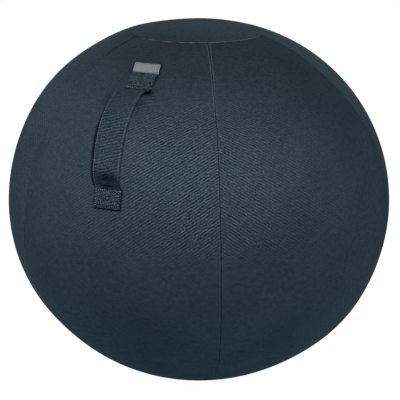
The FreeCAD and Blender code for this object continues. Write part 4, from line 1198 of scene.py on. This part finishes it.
# soft spots, each aimed at its own part of the ball: azimuth, elevation, cone, side and height of the aim, power;
# and two broad lights low at the sides: azimuth, elevation, power
lamps = dict(distance=2.6, soft=0.08, fillSize=0.8, fillAim=0.30,
             spots={"keyLeft": (36, 28, 15, -0.16, 0.30, 79), "edgeLeft": (36, 28, 9, -0.24, 0.35, 126),
                    "lowLeft": (36, 28, 12, -0.24, 0.22, 52), "middle": (36, 28, 9, 0.0, 0.22, 17),
                    "keyRight": (36, 28, 15, 0.16, 0.43, 98), "lowRight": (36, 28, 15, 0.16, 0.12, 62),
                    "rimLeft": (-102, 30, 16, 0.0, 0.48, 152), "rimRight": (158, 30, 16, 0.0, 0.48, 110),
                    "back": (208, 25, 18, 0.0, 0.42, 134)},
             fills={"leftFill": (-82, 0, 29.0), "rightFill": (138, 0, 17.0)})


def aimLamp(name, kind, azimuth, elevation, side, aim):
    away, right = towards(azimuth, elevation)
    away = away * lamps["distance"]
    obj = bpy.data.objects.new(name, bpy.data.lights.new(name, kind))
    bpy.context.scene.collection.objects.link(obj)
    obj.location = Vector((0, 0, aim)) + away
    obj.rotation_mode = "QUATERNION"
    obj.rotation_quaternion = (away - right * side).to_track_quat("Z", "Y")
    return obj.data


for name, (azimuth, elevation, cone, side, aim, power) in lamps["spots"].items():
    lamp = aimLamp(name, "SPOT", azimuth, elevation, side, aim)
    lamp.energy, lamp.spot_size, lamp.spot_blend, lamp.shadow_soft_size = power, math.radians(cone), 1.0, lamps["soft"]
for name, (azimuth, elevation, power) in lamps["fills"].items():
    lamp = aimLamp(name, "AREA", azimuth, elevation, 0.0, lamps["fillAim"])
    lamp.energy, lamp.shape, lamp.size, lamp.size_y = power, "RECTANGLE", lamps["fillSize"], lamps["fillSize"]

backdrop = dict(ambient=0.03, floor=0.8, floorGlow=0.95, bounce=0.42, bounceColour=(0.70, 0.99, 1.04, 1), size=12.0,
                below=-0.0005)


def seenDirectly(tree):
    # 1 for what the camera, a mirror or glass sees, 0 for light that falls on things
    path = addNode(tree, "ShaderNodeLightPath")
    seen = maths(tree, "MAXIMUM", path.outputs["Is Camera Ray"], path.outputs["Is Glossy Ray"])
    return maths(tree, "MAXIMUM", seen, path.outputs["Is Transmission Ray"])


world = bpy.data.worlds.new("studio")
bpy.context.scene.world = world
world.use_nodes = True
tree = world.node_tree
sky = next(n for n in tree.nodes if n.type == "BACKGROUND")
sky.inputs["Color"].default_value = (1, 1, 1, 1)
level = maths(tree, "MULTIPLY_ADD", seenDirectly(tree), 1 - backdrop["ambient"], backdrop["ambient"])
tree.links.new(level, sky.inputs["Strength"])

half = backdrop["size"] / 2
floorMat, tree, shader = startMaterial("paleFloor", (backdrop["floor"],) * 3 + (1,), 0.9, 0.1)
corners = [(x * half, y * half, backdrop["below"]) for x, y in ((-1, -1), (1, -1), (1, 1), (-1, 1))]
floor = newPiece("floor", corners, [(0, 1, 2, 3)], material=floorMat)
seen = seenDirectly(tree)
glowColour = addNode(tree, "ShaderNodeMix", data_type="RGBA")
colourIn = [s for s in glowColour.inputs if s.type == "RGBA"]
colourIn[0].default_value, colourIn[1].default_value = backdrop["bounceColour"], (1, 1, 1, 1)
tree.links.new(seen, glowColour.inputs[0])
tree.links.new(next(s for s in glowColour.outputs if s.type == "RGBA"), shader.inputs["Emission Color"])
glow = maths(tree, "MULTIPLY_ADD", seen, backdrop["floorGlow"] - backdrop["bounce"], backdrop["bounce"])
tree.links.new(glow, shader.inputs["Emission Strength"])

# finishes of the CAD nodes that stay
stays = {"zip_slider": zipMetal, "zip_pull_tab": zipMetal, "zip_top_stops": zipMetal, "zip_bottom_stop": zipMetal,
         "ring_filling": granulate, "inner_ball": ballSkin, "valve_seat": ballSkin, "valve_plug": plugPlastic}
for node, finish in stays.items():
    nodes[node].data.materials.clear()
    nodes[node].data.materials.append(finish)

bpy.context.scene.view_settings.view_transform = "Standard"
